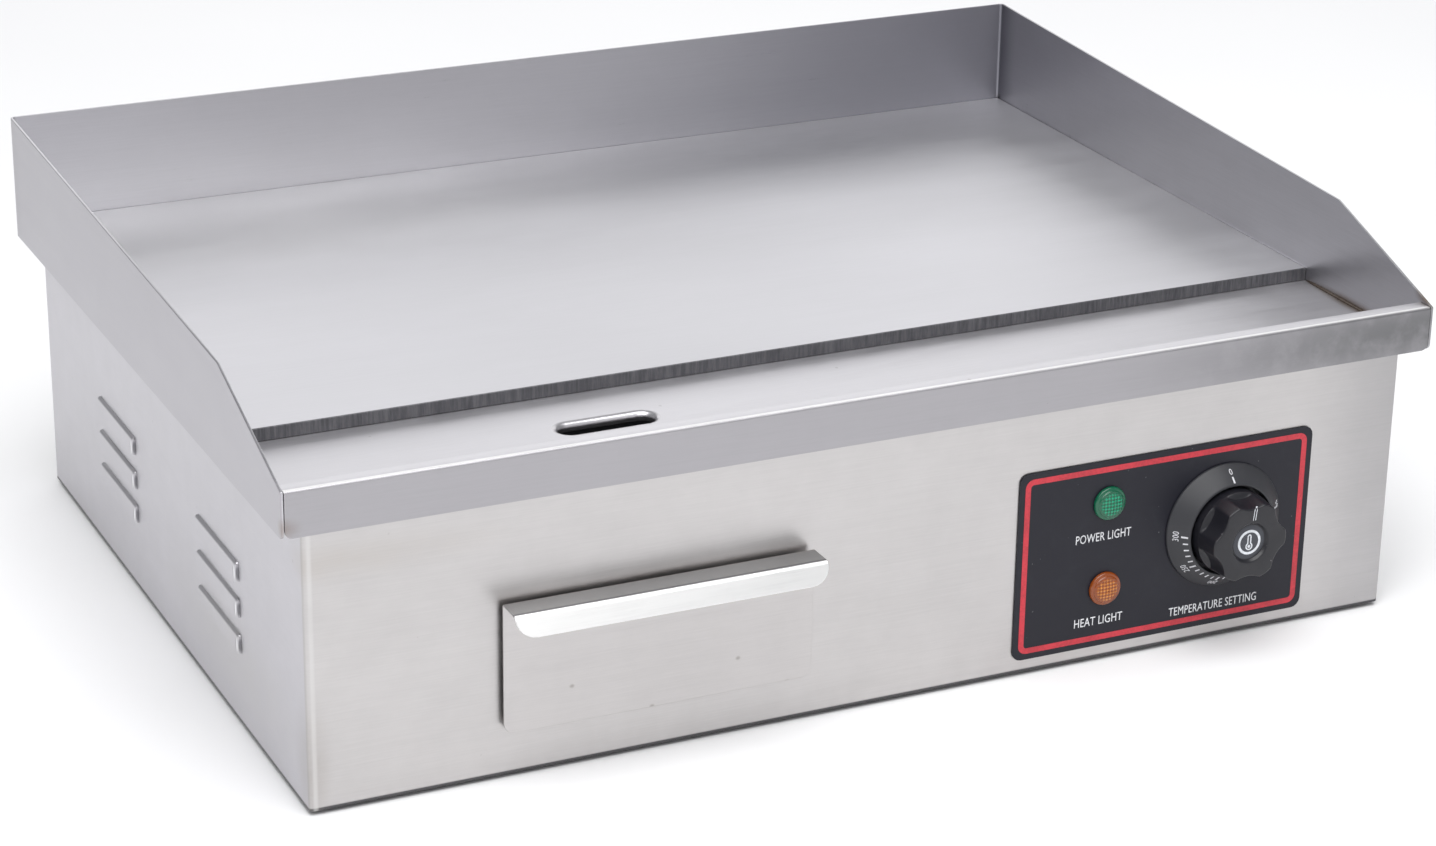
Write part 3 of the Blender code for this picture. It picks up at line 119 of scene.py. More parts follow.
class Graph:
    """The node tree of one material, with its Principled shader."""

    def __init__(self, name: str, **constants: Any) -> None:
        """Makes the material.

        Args:
            name: the material's name.
            constants: Principled inputs, underscores for spaces, that are the same all over.
        """
        self.material = bpy.data.materials.new(name)
        self.material.use_nodes = True
        self.tree = self.material.node_tree
        self.shader = self.tree.nodes["Principled BSDF"]
        for key, value in constants.items():
            self.shader.inputs[key.replace("_", " ")].default_value = value
        self.position = self.node("ShaderNodeTexCoord", {}, {}, "Object")

    def node(self, kind: str, settings: dict[str, Any], values: dict[Any, Any],
             output: Any = 0) -> Socket:
        """Adds any node.

        Args:
            kind: the node's type.
            settings: its properties.
            values: the values or links of its sockets, by name or by number.
            output: the name or number of the output that is returned.

        Returns:
            The output as a Socket.
        """
        made = self.tree.nodes.new(kind)
        for key, value in settings.items():
            setattr(made, key, value)
        for key, value in values.items():
            self.feed(made.inputs[key], value)
        return Socket(self, made.outputs[output])

    def feed(self, socket: bpy.types.NodeSocket, value: Any) -> None:
        """Links a Socket to an input, or sets the input's own value.

        Args:
            socket: A node's input.
            value: A Socket, a number or a tuple.
        """
        if isinstance(value, Socket):
            self.tree.links.new(value.output, socket)
        elif isinstance(value, tuple) and len(value) == 3 and socket.type == "RGBA":
            socket.default_value = (*value, 1.0)
        else:
            socket.default_value = value

    def mapped(self, scale: Point, shift: Point = (0.0, 0.0, 0.0)) -> Socket:
        """Object coordinates times scale, plus shift."""
        return self.node("ShaderNodeMapping", {},
                         {"Vector": self.position, "Location": shift, "Scale": scale})

    def noise(self, scale: Point | float, detail: float = 3.0, roughness: float = 0.55,
              shift: Point = (0.0, 0.0, 0.0), distortion: float = 0.0) -> Socket:
        """Noise from 0 to 1 whose cells are 1 / scale metres long, on each axis or on all.

        Args:
            scale: Cells to a metre.
            detail: The noise's octaves.
            roughness: The strength of the finer octaves.
            shift: A move that picks another part of the noise.
            distortion: How far the cells are bent.

        Returns:
            The noise.
        """
        if isinstance(scale, float):
            scale = (scale, scale, scale)
        return self.node("ShaderNodeTexNoise", {"noise_dimensions": "3D"},
                         {"Vector": self.mapped(scale, shift), "Scale": 1.0, "Detail": detail,
                          "Roughness": roughness, "Distortion": distortion})

    def axis(self, name: str) -> Socket:
        """One of the Object coordinates, X, Y or Z."""
        return self.node("ShaderNodeSeparateXYZ", {}, {0: self.position}, name)

    def spot(self, centre: Point, reach: Point, soft: float = 1.0) -> Socket:
        """A soft ellipsoid mask: 1 at the centre and 0 where the distance over reach passes 1.

        Args:
            centre: The middle of the mask.
            reach: Its half sizes along the axes.
            soft: The share of the reach that fades.

        Returns:
            The mask.
        """
        shift = tuple(-c / r for c, r in zip(centre, reach))
        away = self.node("ShaderNodeVectorMath", {"operation": "LENGTH"},
                         {0: self.mapped(tuple(1.0 / r for r in reach), shift)}, "Value")
        return away.ramp(1.0 - soft, 1.0, 1.0, 0.0)

    def mix(self, factor: Any, first: Any, second: Any, blend: str = "MIX") -> Socket:
        """Mixes two colours."""
        return self.node("ShaderNodeMix", {"data_type": "RGBA", "blend_type": blend},
                         {"Factor": factor, 6: first, 7: second}, 2)

    def shaded(self, tint: Any, level: Socket) -> Socket:
        """A tint times a grey level."""
        grey = self.node("ShaderNodeCombineColor", {}, {0: level, 1: level, 2: level})
        return self.mix(1.0, tint, grey, "MULTIPLY")

    def bump(self, height: Socket, distance: float, strength: float = 1.0) -> Socket:
        """A bumped normal; the height goes from 0 to 1 over the distance."""
        return self.node("ShaderNodeBump", {},
                         {"Strength": strength, "Distance": distance, "Height": height}, "Normal")

    def dress(self, **links: Socket) -> bpy.types.Material:
        """Links sockets to Principled inputs, underscores for spaces, and returns the material.

        Args:
            links: The value of each input, by its name.

        Returns:
            The material.
        """
        for key, value in links.items():
            self.feed(self.shader.inputs[key.replace("_", " ")], value)
        return self.material

    def finish(self, colour: Socket, rough: Socket, height: Socket, depth: float,
               strength: float) -> bpy.types.Material:
        """Dresses the shader with a colour, a roughness and a bump of that depth."""
        return self.dress(Base_Color=colour, Roughness=rough,
                          Normal=self.bump(height, depth, strength))


# ------------------------------------------------------------------ finishes
class Grain(Enum):
    """The way that a sheet's brushing runs: cells per metre on each axis."""

    UPRIGHT = (36.0, 36.0, 1500.0)
    FLAT = (36.0, 1500.0, 1500.0)
    FLAT_SIDE = (1500.0, 36.0, 1500.0)
    ROUND = (600.0, 600.0, 600.0)


@dataclass(frozen=True)
class StainAndPaintedLight:
    """A soft local change of colour: a heat tint beside a weld, a painted shadow or a painted
    highlight.

    Its ellipsoid fades over the soft share of its reach, and patchy is how far it breaks up.
    """

    centre: Point
    reach: Point
    colour: Colour
    strength: float
    soft: float = 1.0
    patchy: float = 0.5


@dataclass(frozen=True)
class Band:
    """A tint that takes over as a coordinate goes from one level to another."""

    axis: str
    none: float
    full: float
    tint: Colour
    strength: float = 1.0

    def over(self, graph: Graph, ground: Any) -> Socket:
        """Lays the tint over a colour.

        Args:
            graph: The material's graph.
            ground: The colour underneath.

        Returns:
            The tinted colour.
        """
        place = graph.axis(self.axis)
        if self.none < self.full:
            mask = place.ramp(self.none, self.full)
        else:
            mask = place.ramp(self.full, self.none, 1.0, 0.0)
        return graph.mix(mask * self.strength, ground, self.tint)


@dataclass(frozen=True)
class BrushedSteel:
    """Stainless sheet with fine level grain, cloudy sheen, handling marks, heat tints, and painted
    shade and highlights where they are given.

    Cloud and rub are the depths of its broad and its small unevenness.
    """

    tint: Colour = (0.60, 0.60, 0.61)
    grain: Grain = Grain.UPRIGHT
    roughness: float = 0.34
    cloud: float = 0.10
    bands: tuple[Band, ...] = ()
    stains_and_painted_light: tuple[StainAndPaintedLight, ...] = ()
    rub: float = 0.04

    def material(self, name: str) -> bpy.types.Material:
        """The sheet's material.

        Args:
            name: the material's name.

        Returns:
            A material whose colour, roughness and bump follow the grain.
        """
        graph = Graph(name, Metallic=1.0)
        along = self.grain.value
        fine = graph.noise(along, 4.0, 0.7)
        streaks = graph.noise(tuple(max(v * 0.12, 2.5) for v in along), 3.0, 0.6,
                              shift=(3.1, 1.7, 5.2))
        clouds = graph.noise((15.0, 15.0, 24.0), 6.0, 0.68)
        broad = graph.noise((4.0, 4.0, 6.0), 2.0, 0.5, shift=(7.0, 2.0, 1.0))
        patch = graph.noise(60.0, 4.0, 0.6)
        level = ((fine - 0.5) * 0.18 + (patch - 0.5) * self.rub + (streaks - 0.5) * 0.07
                 + (clouds - 0.5) * self.cloud + (broad - 0.5) * self.cloud * 1.6 + 1.0)
        tint = self.tint
        for band in self.bands:
            tint = band.over(graph, tint)
        colour = graph.shaded(tint, level)
        marks = graph.noise(210.0, 2.0, 0.5, shift=(1.0, 9.0, 4.0))
        colour = graph.mix(marks.ramp(0.77, 0.81, 0.0, 0.25), colour, (0.22, 0.21, 0.20))
        # heat tints and weld marks, and also painted shade and painted highlights, laid over the
        # colour
        for tint_spot in self.stains_and_painted_light:
            mask = graph.spot(tint_spot.centre, tint_spot.reach, tint_spot.soft) * patch.ramp(
                0.25, 0.62, 1.0 - tint_spot.patchy)
            colour = graph.mix(mask * tint_spot.strength, colour, tint_spot.colour)
        rough = ((fine - 0.5) * 0.16 + (clouds - 0.5) * 0.14 + (streaks - 0.5) * 0.10
                 + self.roughness)
        height = fine * 0.7 + streaks * 0.3
        return graph.finish(colour, rough, height, 0.00004, 0.35)


@dataclass(frozen=True)
class GroundPlate:
    """The cooking plate: ground steel with blotches on top and a streaky sawn front edge.

    The front edge is at edge_y; the two other points are the middles of a painted dark reflection
    and a painted bright reflection on the top.
    """

    edge_y: float
    painted_dark_reflection: Point
    bright: Point
    tint: Colour = (0.68, 0.674, 0.70)
    painted_dark_reflection_reach: Point = (0.24, 0.085, 0.05)
    bright_reach: Point = (0.26, 0.11, 0.05)

    def material(self, name: str) -> bpy.types.Material:
        """The plate's material.

        Args:
            name: the material's name.

        Returns:
            A material with a light blotchy top, a painted dark and a painted bright reflection,
            and a darker front edge.
        """
        graph = Graph(name, Metallic=1.0)
        fine = graph.noise((7.0, 1300.0, 1300.0), 4.0, 0.7)
        blotch = graph.noise((6.0, 14.0, 9.0), 5.0, 0.62)
        broad = graph.noise((3.0, 4.5, 3.0), 2.0, 0.5, shift=(2.0, 4.0, 6.0))
        level = (fine - 0.5) * 0.12 + (blotch - 0.5) * 0.20 + (broad - 0.5) * 0.24 + 1.0
        colour = graph.shaded(self.tint, level)
        # painted dark reflection on the rear right of the top, broken up by the blotches
        patch_mask = graph.spot(self.painted_dark_reflection, self.painted_dark_reflection_reach)
        colour = graph.mix(patch_mask * blotch.ramp(0.38, 0.62, 0.25, 0.60), colour, (0.40, 0.40, 0.43))
        # painted bright reflection on the rear left of the top
        painted_bright_reflection = graph.spot(self.bright, self.bright_reach)
        colour = graph.mix(painted_bright_reflection * 0.8, colour, (0.93, 0.925, 0.94))
        sawn = graph.noise((620.0, 620.0, 60.0), 5.0, 0.75)
        edge = graph.axis("Y").ramp(self.edge_y + 0.0002, self.edge_y + 0.0005, 1.0, 0.0)
        colour = graph.mix(edge * sawn.ramp(0.3, 0.75, 0.97, 0.82), colour, (0.085, 0.085, 0.092))
        rough = (fine - 0.5) * 0.14 + (blotch - 0.5) * 0.22 + 0.50 + edge * 0.12
        return graph.finish(colour, rough, fine * (1.0 - edge) + sawn * edge, 0.00005, 0.35)


@dataclass(frozen=True)
class PlainMetal:
    """Small turned, plated, drawn or oxidised metal pieces."""

    tint: Colour
    roughness: float
    mottle: float = 0.25
    patch: Colour = (0.30, 0.28, 0.24)

    def material(self, name: str) -> bpy.types.Material:
        """The metal with a mottled coat of the patch colour and fine tool marks.

        Args:
            name: The name of the new material.

        Returns:
            The finished material.
        """
        graph = Graph(name, Metallic=1.0)
        fine = graph.noise(1400.0, 2.0, 0.6)
        blotch = graph.noise(120.0, 4.0, 0.6, distortion=0.6)
        colour = graph.mix(blotch.ramp(0.40, 0.75, 0.0, self.mottle), self.tint, self.patch)
        rough = (fine - 0.5) * 0.12 + (blotch - 0.5) * 0.25 + self.roughness
        return graph.finish(colour, rough, fine, 0.00003, 0.4)


@dataclass(frozen=True)
class Moulded:
    """Moulded plastic, rubber, ceramic or film: a fine skin, soft wear and a little dust."""

    tint: Colour
    roughness: float
    skin: float = 1800.0
    depth: float = 0.00003
    wear: Colour = (0.10, 0.10, 0.105)
    dust: float = 0.25
    gloss: float = 0.5

    def material(self, name: str) -> bpy.types.Material:
        """The moulded piece's material with skin bump, worn patches and specks of dust.

        Args:
            name: The name of the new material.

        Returns:
            The finished material.
        """
        graph = Graph(name, Metallic=0.0, Specular_IOR_Level=self.gloss)
        skin = graph.noise(self.skin, 2.0, 0.6)
        patch_mask = graph.noise(70.0, 5.0, 0.65, distortion=0.5)
        colour = graph.mix(patch_mask.ramp(0.45, 0.85, 0.0, 0.30), self.tint, self.wear)
        speck = graph.noise(520.0, 1.0, 0.5, shift=(4.0, 8.0, 2.0))
        colour = graph.mix(speck.ramp(0.79, 0.83, 0.0, self.dust), colour, (0.7, 0.7, 0.72))
        rough = (patch_mask - 0.5) * 0.18 + (skin - 0.5) * 0.10 + self.roughness
        return graph.finish(colour, rough, skin, self.depth, 0.5)


@dataclass(frozen=True)
class Fibre:
    """Felted ceramic fibre or woven sleeve."""

    tint: Colour
    weave: float = 700.0

    def material(self, name: str) -> bpy.types.Material:
        """Matted threads in two sizes over an uneven tint.

        Args:
            name: The name of the new material.

        Returns:
            The finished material.
        """
        graph = Graph(name, Metallic=0.0)
        threads = graph.noise((self.weave, self.weave * 0.3, self.weave), 4.0, 0.7,
                              distortion=2.0)
        tufts = graph.noise(60.0, 3.0, 0.6)
        shade = threads * 0.5 + tufts * 0.5
        dark = tuple(channel * 0.62 for channel in self.tint)
        colour = graph.mix(shade.ramp(0.30, 0.65), dark, self.tint)
        return graph.finish(colour, 0.85 + (threads - 0.5) * 0.2, threads, 0.0003, 0.7)


@dataclass(frozen=True)
class Ink:
    """Screen-printed ink: a solid film with slightly uneven cover."""

    tint: Colour

    def material(self, name: str) -> bpy.types.Material:
        """Printed ink with faint mottling and pinholes.

        Args:
            name: The name of the new material.

        Returns:
            The finished material.
        """
        graph = Graph(name, Metallic=0.0)
        mottle = graph.noise(900.0, 3.0, 0.6)
        broad = graph.noise(90.0, 3.0, 0.6)
        thin = tuple(channel * 0.72 for channel in self.tint)
        colour = graph.mix((mottle * 0.5 + broad * 0.5).ramp(0.35, 0.62), thin, self.tint)
        return graph.finish(colour, 0.42 + (mottle - 0.5) * 0.2, mottle, 0.00001, 0.4)


@dataclass(frozen=True)
class LampLens:
    """Tinted clear plastic with painted highlights on the facets inside a darker rim."""

    deep: Colour
    bright: Colour
    centre: Point
    core: float = 0.0058

    def material(self, name: str) -> bpy.types.Material:
        """The lens's material: painted highlights brighten the facet centres; joints and rim stay
        deep.

        Args:
            name: The name of the new material.

        Returns:
            The finished material.
        """
        graph = Graph(name, Metallic=0.0, Coat_Weight=0.3, Coat_Roughness=0.08, IOR=1.49)
        cells = 1.0 / FACET
        grid = graph.mapped((cells, 1.0, cells), tuple(-c * cells for c in self.centre))
        across, up = (graph.node("ShaderNodeSeparateXYZ", {}, {0: grid}, name) * TURN
                      for name in ("X", "Z"))
        facet = (across.maths("COSINE", across) + up.maths("COSINE", up)) * 0.25 + 0.5
        inside = graph.spot(self.centre, (self.core, 1.0, self.core), 0.25)
        cloud = graph.noise(400.0, 2.0, 0.6)
        # painted highlights on the facet centres, inside the rim
        painted_facet_highlights = facet.ramp(0.30, 0.85) * inside * cloud.ramp(0.2, 0.7, 0.6)
        colour = graph.mix(painted_facet_highlights, self.deep, self.bright)
        return graph.dress(Base_Color=colour, Roughness=0.22 + (cloud - 0.5) * 0.1)


# ------------------------------------------------------------------ meshes
def piece(name: str, points: np.ndarray, faces: np.ndarray | Sequence[Sequence[int]],
          angle: float = 40.0) -> bpy.types.Object:
    """Puts vertices and faces into a new closed piece at the origin.

    Args:
        name: the piece's name.
        points: vertices, n by 3.
        faces: vertex numbers of each face.
        angle: edges sharper than this, in degrees, stay sharp.

    Returns:
        The piece, with doubles merged and normals outwards.
    """
    mesh = bpy.data.meshes.new(name)
    mesh.from_pydata(np.asarray(points, float).tolist(), [], [list(map(int, f)) for f in faces])
    tidy(mesh, angle)
    made = bpy.data.objects.new(name, mesh)
    bpy.context.scene.collection.objects.link(made)
    return made


def tidy(mesh: bpy.types.Mesh, angle: float, flatten: bool = False) -> None:
    """Merges doubles, turns the faces outwards and shades smooth below the angle.

    Args:
        mesh: The mesh, changed in place.
        angle: Degrees from which an edge stays sharp.
        flatten: Whether level neighbouring faces are joined first.
    """
    shape = bmesh.new()
    shape.from_mesh(mesh)
    bmesh.ops.remove_doubles(shape, verts=shape.verts, dist=MERGE)
    if flatten:
        bmesh.ops.dissolve_limit(shape, angle_limit=math.radians(LEVEL), verts=shape.verts,
                                 edges=shape.edges)
    bmesh.ops.recalc_face_normals(shape, faces=shape.faces)
    shape.to_mesh(mesh)
    shape.free()
    mesh.shade_smooth()
    mesh.set_sharp_from_angle(angle=math.radians(angle))


def grid_faces(rows: int, columns: int, wrap_rows: bool, wrap_columns: bool) -> np.ndarray:
    """Quads of a grid of points numbered row by row, optionally closed on itself.

    Args:
        rows: Rows of points.
        columns: Points in a row.
        wrap_rows: Whether the last row joins the first.
        wrap_columns: Whether each row closes on itself.

    Returns:
        One row of four point numbers for each quad.
    """
    r = np.arange(rows if wrap_rows else rows - 1)[:, None]
    c = np.arange(columns if wrap_columns else columns - 1)[None, :]
    r2, c2 = (r + 1) % rows, (c + 1) % columns
    corners = [r * columns + c, r * columns + c2, r2 * columns + c2, r2 * columns + c]
    return np.stack([np.broadcast_to(k, (r.size, c.size)).ravel() for k in corners], 1)


def softened(profile: Sequence[tuple[float, float, float]], steps: int = 5) -> np.ndarray:
    """Rounds the corners of a polyline of (radius, height, fillet).

    Each fillet is the quadratic curve whose control point is the corner and whose ends lie
    the fillet's length back and ahead along the two sides.

    Args:
        profile: The corners, each with the length of its fillet.
        steps: Points on each fillet.

    Returns:
        The rounded polyline as (radius, height).
    """
    line = np.array([p[:2] for p in profile], float)
    points = [line[:1]]
    t = np.linspace(0.0, 1.0, steps)[:, None]
    for i in range(1, len(line) - 1):
        cut = profile[i][2]
        if not cut:
            points.append(line[i:i + 1])
            continue
        start, end = (line[i] + side * min(cut / np.linalg.norm(side), BEND_LIMIT)
                      for side in (line[i - 1] - line[i], line[i + 1] - line[i]))
        points.append((1 - t) ** 2 * start + 2 * t * (1 - t) * line[i] + t ** 2 * end)
    points.append(line[-1:])
    return np.vstack(points)


class Facing(Enum):
    """Where a turned piece's axis points, as the rows that take (across, up, out) to XYZ."""

    UP = ((1, 0, 0), (0, 1, 0), (0, 0, 1))
    FRONT = ((1, 0, 0), (0, 0, -1), (0, 1, 0))
    REAR = ((-1, 0, 0), (0, 0, 1), (0, 1, 0))


def oriented(points: np.ndarray, facing: Facing, centre: Sequence[float]) -> np.ndarray:
    """Turns (across, up, out) points to the facing and moves them to the centre."""
    return points @ np.array(facing.value, float).T + np.array(centre, float)


def turned(name: str, profile: Sequence[tuple[float, float, float]], facing: Facing,
           centre: Sequence[float], steps: int = 96, shaped: Shaping | None = None,
           angle: float = 40.0) -> bpy.types.Object:
    """A turned piece: radius and height from a profile, all the way round.

    The surface is (r cos a, r sin a, h) for each profile point and each angle a; shaped, where
    it is given, takes the arrays r, h and a and returns the changed r and h.

    Args:
        name: the piece's name.
        profile: (radius, height, fillet) corners; it starts and ends on the axis or is closed.
        facing: where the axis points.
        centre: the place of height 0 on the axis.
        steps: points round the axis.
        shaped: an optional change of the surface.
        angle: edges sharper than this, in degrees, stay sharp.

    Returns:
        The finished piece.
    """
    line = softened(profile)
    a = np.linspace(0.0, TURN, steps, endpoint=False)
    r, turn = np.meshgrid(line[:, 0], a, indexing="ij")
    h = np.broadcast_to(line[:, 1:2], r.shape)
    if shaped is not None:
        r, h = shaped(r, h, turn)
    points = np.stack([r * np.cos(turn), r * np.sin(turn), h], -1).reshape(-1, 3)
    closed = line[0, 0] > CLEAR
    faces = grid_faces(len(line), steps, closed, True)
    return piece(name, oriented(points, facing, centre), faces, angle)


def carried(name: str, path: np.ndarray, section: np.ndarray) -> bpy.types.Object:
    """A closed section carried round a closed level path.

    Each point is the path's point plus the section's first number along the path's outward
    normal and its second number straight up.

    Args:
        name: the piece's name.
        path: points of the path, n by 3, anticlockwise seen from above.
        section: (outward, up) points of the closed section.

    Returns:
        The finished ring.
    """
    ahead = np.roll(path, -1, 0) - np.roll(path, 1, 0)
    out = np.stack([ahead[:, 1], -ahead[:, 0], np.zeros(len(path))], 1)
    out /= np.linalg.norm(out, axis=1, keepdims=True)
    up = np.array([0.0, 0.0, 1.0])
    points = path[:, None] + section[None, :, :1] * out[:, None] + section[None, :, 1:] * up
    faces = grid_faces(len(path), len(section), True, True)
    return piece(name, points.reshape(-1, 3), faces)


def rounded_box_path(width: float, height: float, radius: float, steps: int = 8) -> np.ndarray:
    """Corners of a rounded rectangle round the origin, anticlockwise, as (x, y).

    Args:
        width: The size along x.
        height: The size along y.
        radius: The radius of the corners.
        steps: Points on each corner.

    Returns:
        One row for each point.
    """
    a = np.linspace(0.0, TURN / 4, steps)
    signs = np.array([(1, 1), (-1, 1), (-1, -1), (1, -1)], float)
    centres = signs * (width / 2 - radius, height / 2 - radius)
    arcs = [c + radius * np.stack([np.cos(a + i * TURN / 4), np.sin(a + i * TURN / 4)], 1)
            for i, c in enumerate(centres)]
    return np.vstack(arcs)


def clean_copy(node: str, name: str, bevel: float = 0.0) -> bpy.types.Object:
    """A merged copy of a CAD sheet with smooth bends and softened edges, in the node's place.

    Args:
        node: the CAD node that it stands for.
        name: the new piece's name.
        bevel: the width of the softened edges, or 0 for edges that stay sharp.

    Returns:
        The piece.
    """
    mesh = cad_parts[node].data.copy()
    mesh.name = name
    mesh.materials.clear()
    tidy(mesh, SHARP, flatten=True)
    made = bpy.data.objects.new(name, mesh)
    bpy.context.scene.collection.objects.link(made)
    if bevel:
        soften = made.modifiers.new("edges", "BEVEL")
        soften.width = bevel
        soften.segments = 2
        soften.limit_method = "ANGLE"
        soften.angle_limit = math.radians(SHARP)
        soften.harden_normals = True
        soften.use_clamp_overlap = True
    else:
        made.modifiers.new("flats", "WEIGHTED_NORMAL").keep_sharp = True
    return made


def fit(made: bpy.types.Object, body: str, look: bpy.types.Material, slot: str,
        *nodes: str) -> bpy.types.Object:
    """Dresses a piece, attaches it to its body and hides the CAD nodes it stands for.

    Args:
        made: The piece.
        body: The body it rides on.
        look: Its material.
        slot: Not used.
        nodes: The CAD nodes it stands for.

    Returns:
        The piece.
    """
    made.data.materials.clear()
    made.data.materials.append(look)
    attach(made, body)
    if nodes:
        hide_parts(*nodes)
    LOG.info("%s rides on %s, %d faces", made.name, body, len(made.data.polygons))
    return made


def sheet(node: str, name: str, look: bpy.types.Material, bevel: float = 0.0,
          body: str = "root", slot: str = "stainless") -> None:
    """Fits a clean copy of a CAD sheet in its node's place."""
    fit(clean_copy(node, name, bevel), body, look, slot, node)


def dress_nodes(look: bpy.types.Material, *nodes: str) -> None:
    """Gives CAD nodes that stay shown a detailed material.

    Args:
        look: The material.
        nodes: The names of the CAD nodes.
    """
    for node in nodes:
        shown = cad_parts[node]
        shown.data.materials.clear()
        shown.data.materials.append(look)
        LOG.info("%s keeps its CAD shape", node)


def rear_centre(node: str, forward: float = 0.0) -> Point:
    """The middle of the rear of a node's box, or a place that far in front of it."""
    low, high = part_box(node)
    return ((low.x + high.x) / 2, high.y - forward, (low.z + high.z) / 2)


def lettering(text: str, size: tuple[float, float], spacing: float = 1.0) -> tuple[
        np.ndarray, list[list[int]]]:
    """Flat letters as a thin solid.

    Args:
        text: generic words or numbers.
        size: width and height that the whole text fills.
        spacing: the distance between letters, 1 for the usual one.

    Returns:
        Points (across, up, out) centred on the middle, out from 0 to 1, and faces.
    """
    curve = bpy.data.curves.new("letters", "FONT")
    curve.body = text
    curve.extrude = 0.5
    curve.resolution_u = 3
    curve.space_character = spacing
    holder = bpy.data.objects.new("letters", curve)
    bpy.context.scene.collection.objects.link(holder)
    bpy.context.view_layer.update()
    mesh = bpy.data.meshes.new_from_object(
        holder.evaluated_get(bpy.context.evaluated_depsgraph_get()))
    bpy.data.objects.remove(holder)
    points = np.empty(len(mesh.vertices) * 3)
    mesh.vertices.foreach_get("co", points)
    points = points.reshape(-1, 3)
    faces = [list(face.vertices) for face in mesh.polygons]
    bpy.data.meshes.remove(mesh)
    low, high = points.min(0), points.max(0)
    points = (points - (low + high) / 2) / (high - low)
    points *= (size[0], size[1], 1.0)
    points[:, 2] += 0.5
    return points, faces


class Print:
    """Thin printed marks gathered into one piece."""

    def __init__(self) -> None:
        """Starts with no marks."""
        self.points: list[np.ndarray] = []
        self.faces: list[list[int]] = []
        self.count = 0

    def add(self, points: np.ndarray, faces: Iterable[Sequence[int]]) -> None:
        """Adds a solid whose points are already in place.

        Args:
            points: Its corners.
            faces: Its faces, as numbers of its own corners.
        """
        self.points.append(points)
        self.faces += [[v + self.count for v in face] for face in faces]
        self.count += len(points)

    def bar(self, corners: np.ndarray, lift: np.ndarray) -> None:
        """Adds a thin four-cornered mark that lifts off its ground by a vector.

        Args:
            corners: The four corners on the ground.
            lift: The vector.
        """
        points = np.vstack([corners, corners + lift])
        self.add(points, [[3, 2, 1, 0], [4, 5, 6, 7], [0, 1, 5, 4], [1, 2, 6, 5], [2, 3, 7, 6],
                          [3, 0, 4, 7]])

    def place(self, facing: Facing, centre: Sequence[float]) -> None:
        """Turns all the marks to the facing and moves them to the centre."""
        self.points = [oriented(points, facing, centre) for points in self.points]

    def piece(self, name: str) -> bpy.types.Object:
        """Makes the piece."""
        return piece(name, np.vstack(self.points), self.faces, 30.0)


def ribbon(path: np.ndarray, width: float, thickness: float) -> tuple[np.ndarray, np.ndarray]:
    """A flat band along a closed outline, as a thin solid.

    Each outline point is moved half the width to either side along the outline's normal, and
    both are lifted by the thickness.

    Args:
        path: (across, up) points, anticlockwise.
        width: the band's width.
        thickness: how far it stands out.

    Returns:
        Points (across, up, out) and faces.
    """
    ahead = np.roll(path, -1, 0) - np.roll(path, 1, 0)
    out = np.stack([ahead[:, 1], -ahead[:, 0]], 1)
    out /= np.linalg.norm(out, axis=1, keepdims=True)
    loops = [path + out * side * width / 2 for side in (1, 1, -1, -1)]
    points = np.stack([np.column_stack([loop, np.full(len(path), lift)])
                       for loop, lift in zip(loops, (0.0, thickness, thickness, 0.0))])
    return points.reshape(-1, 3), grid_faces(4, len(path), True, True)


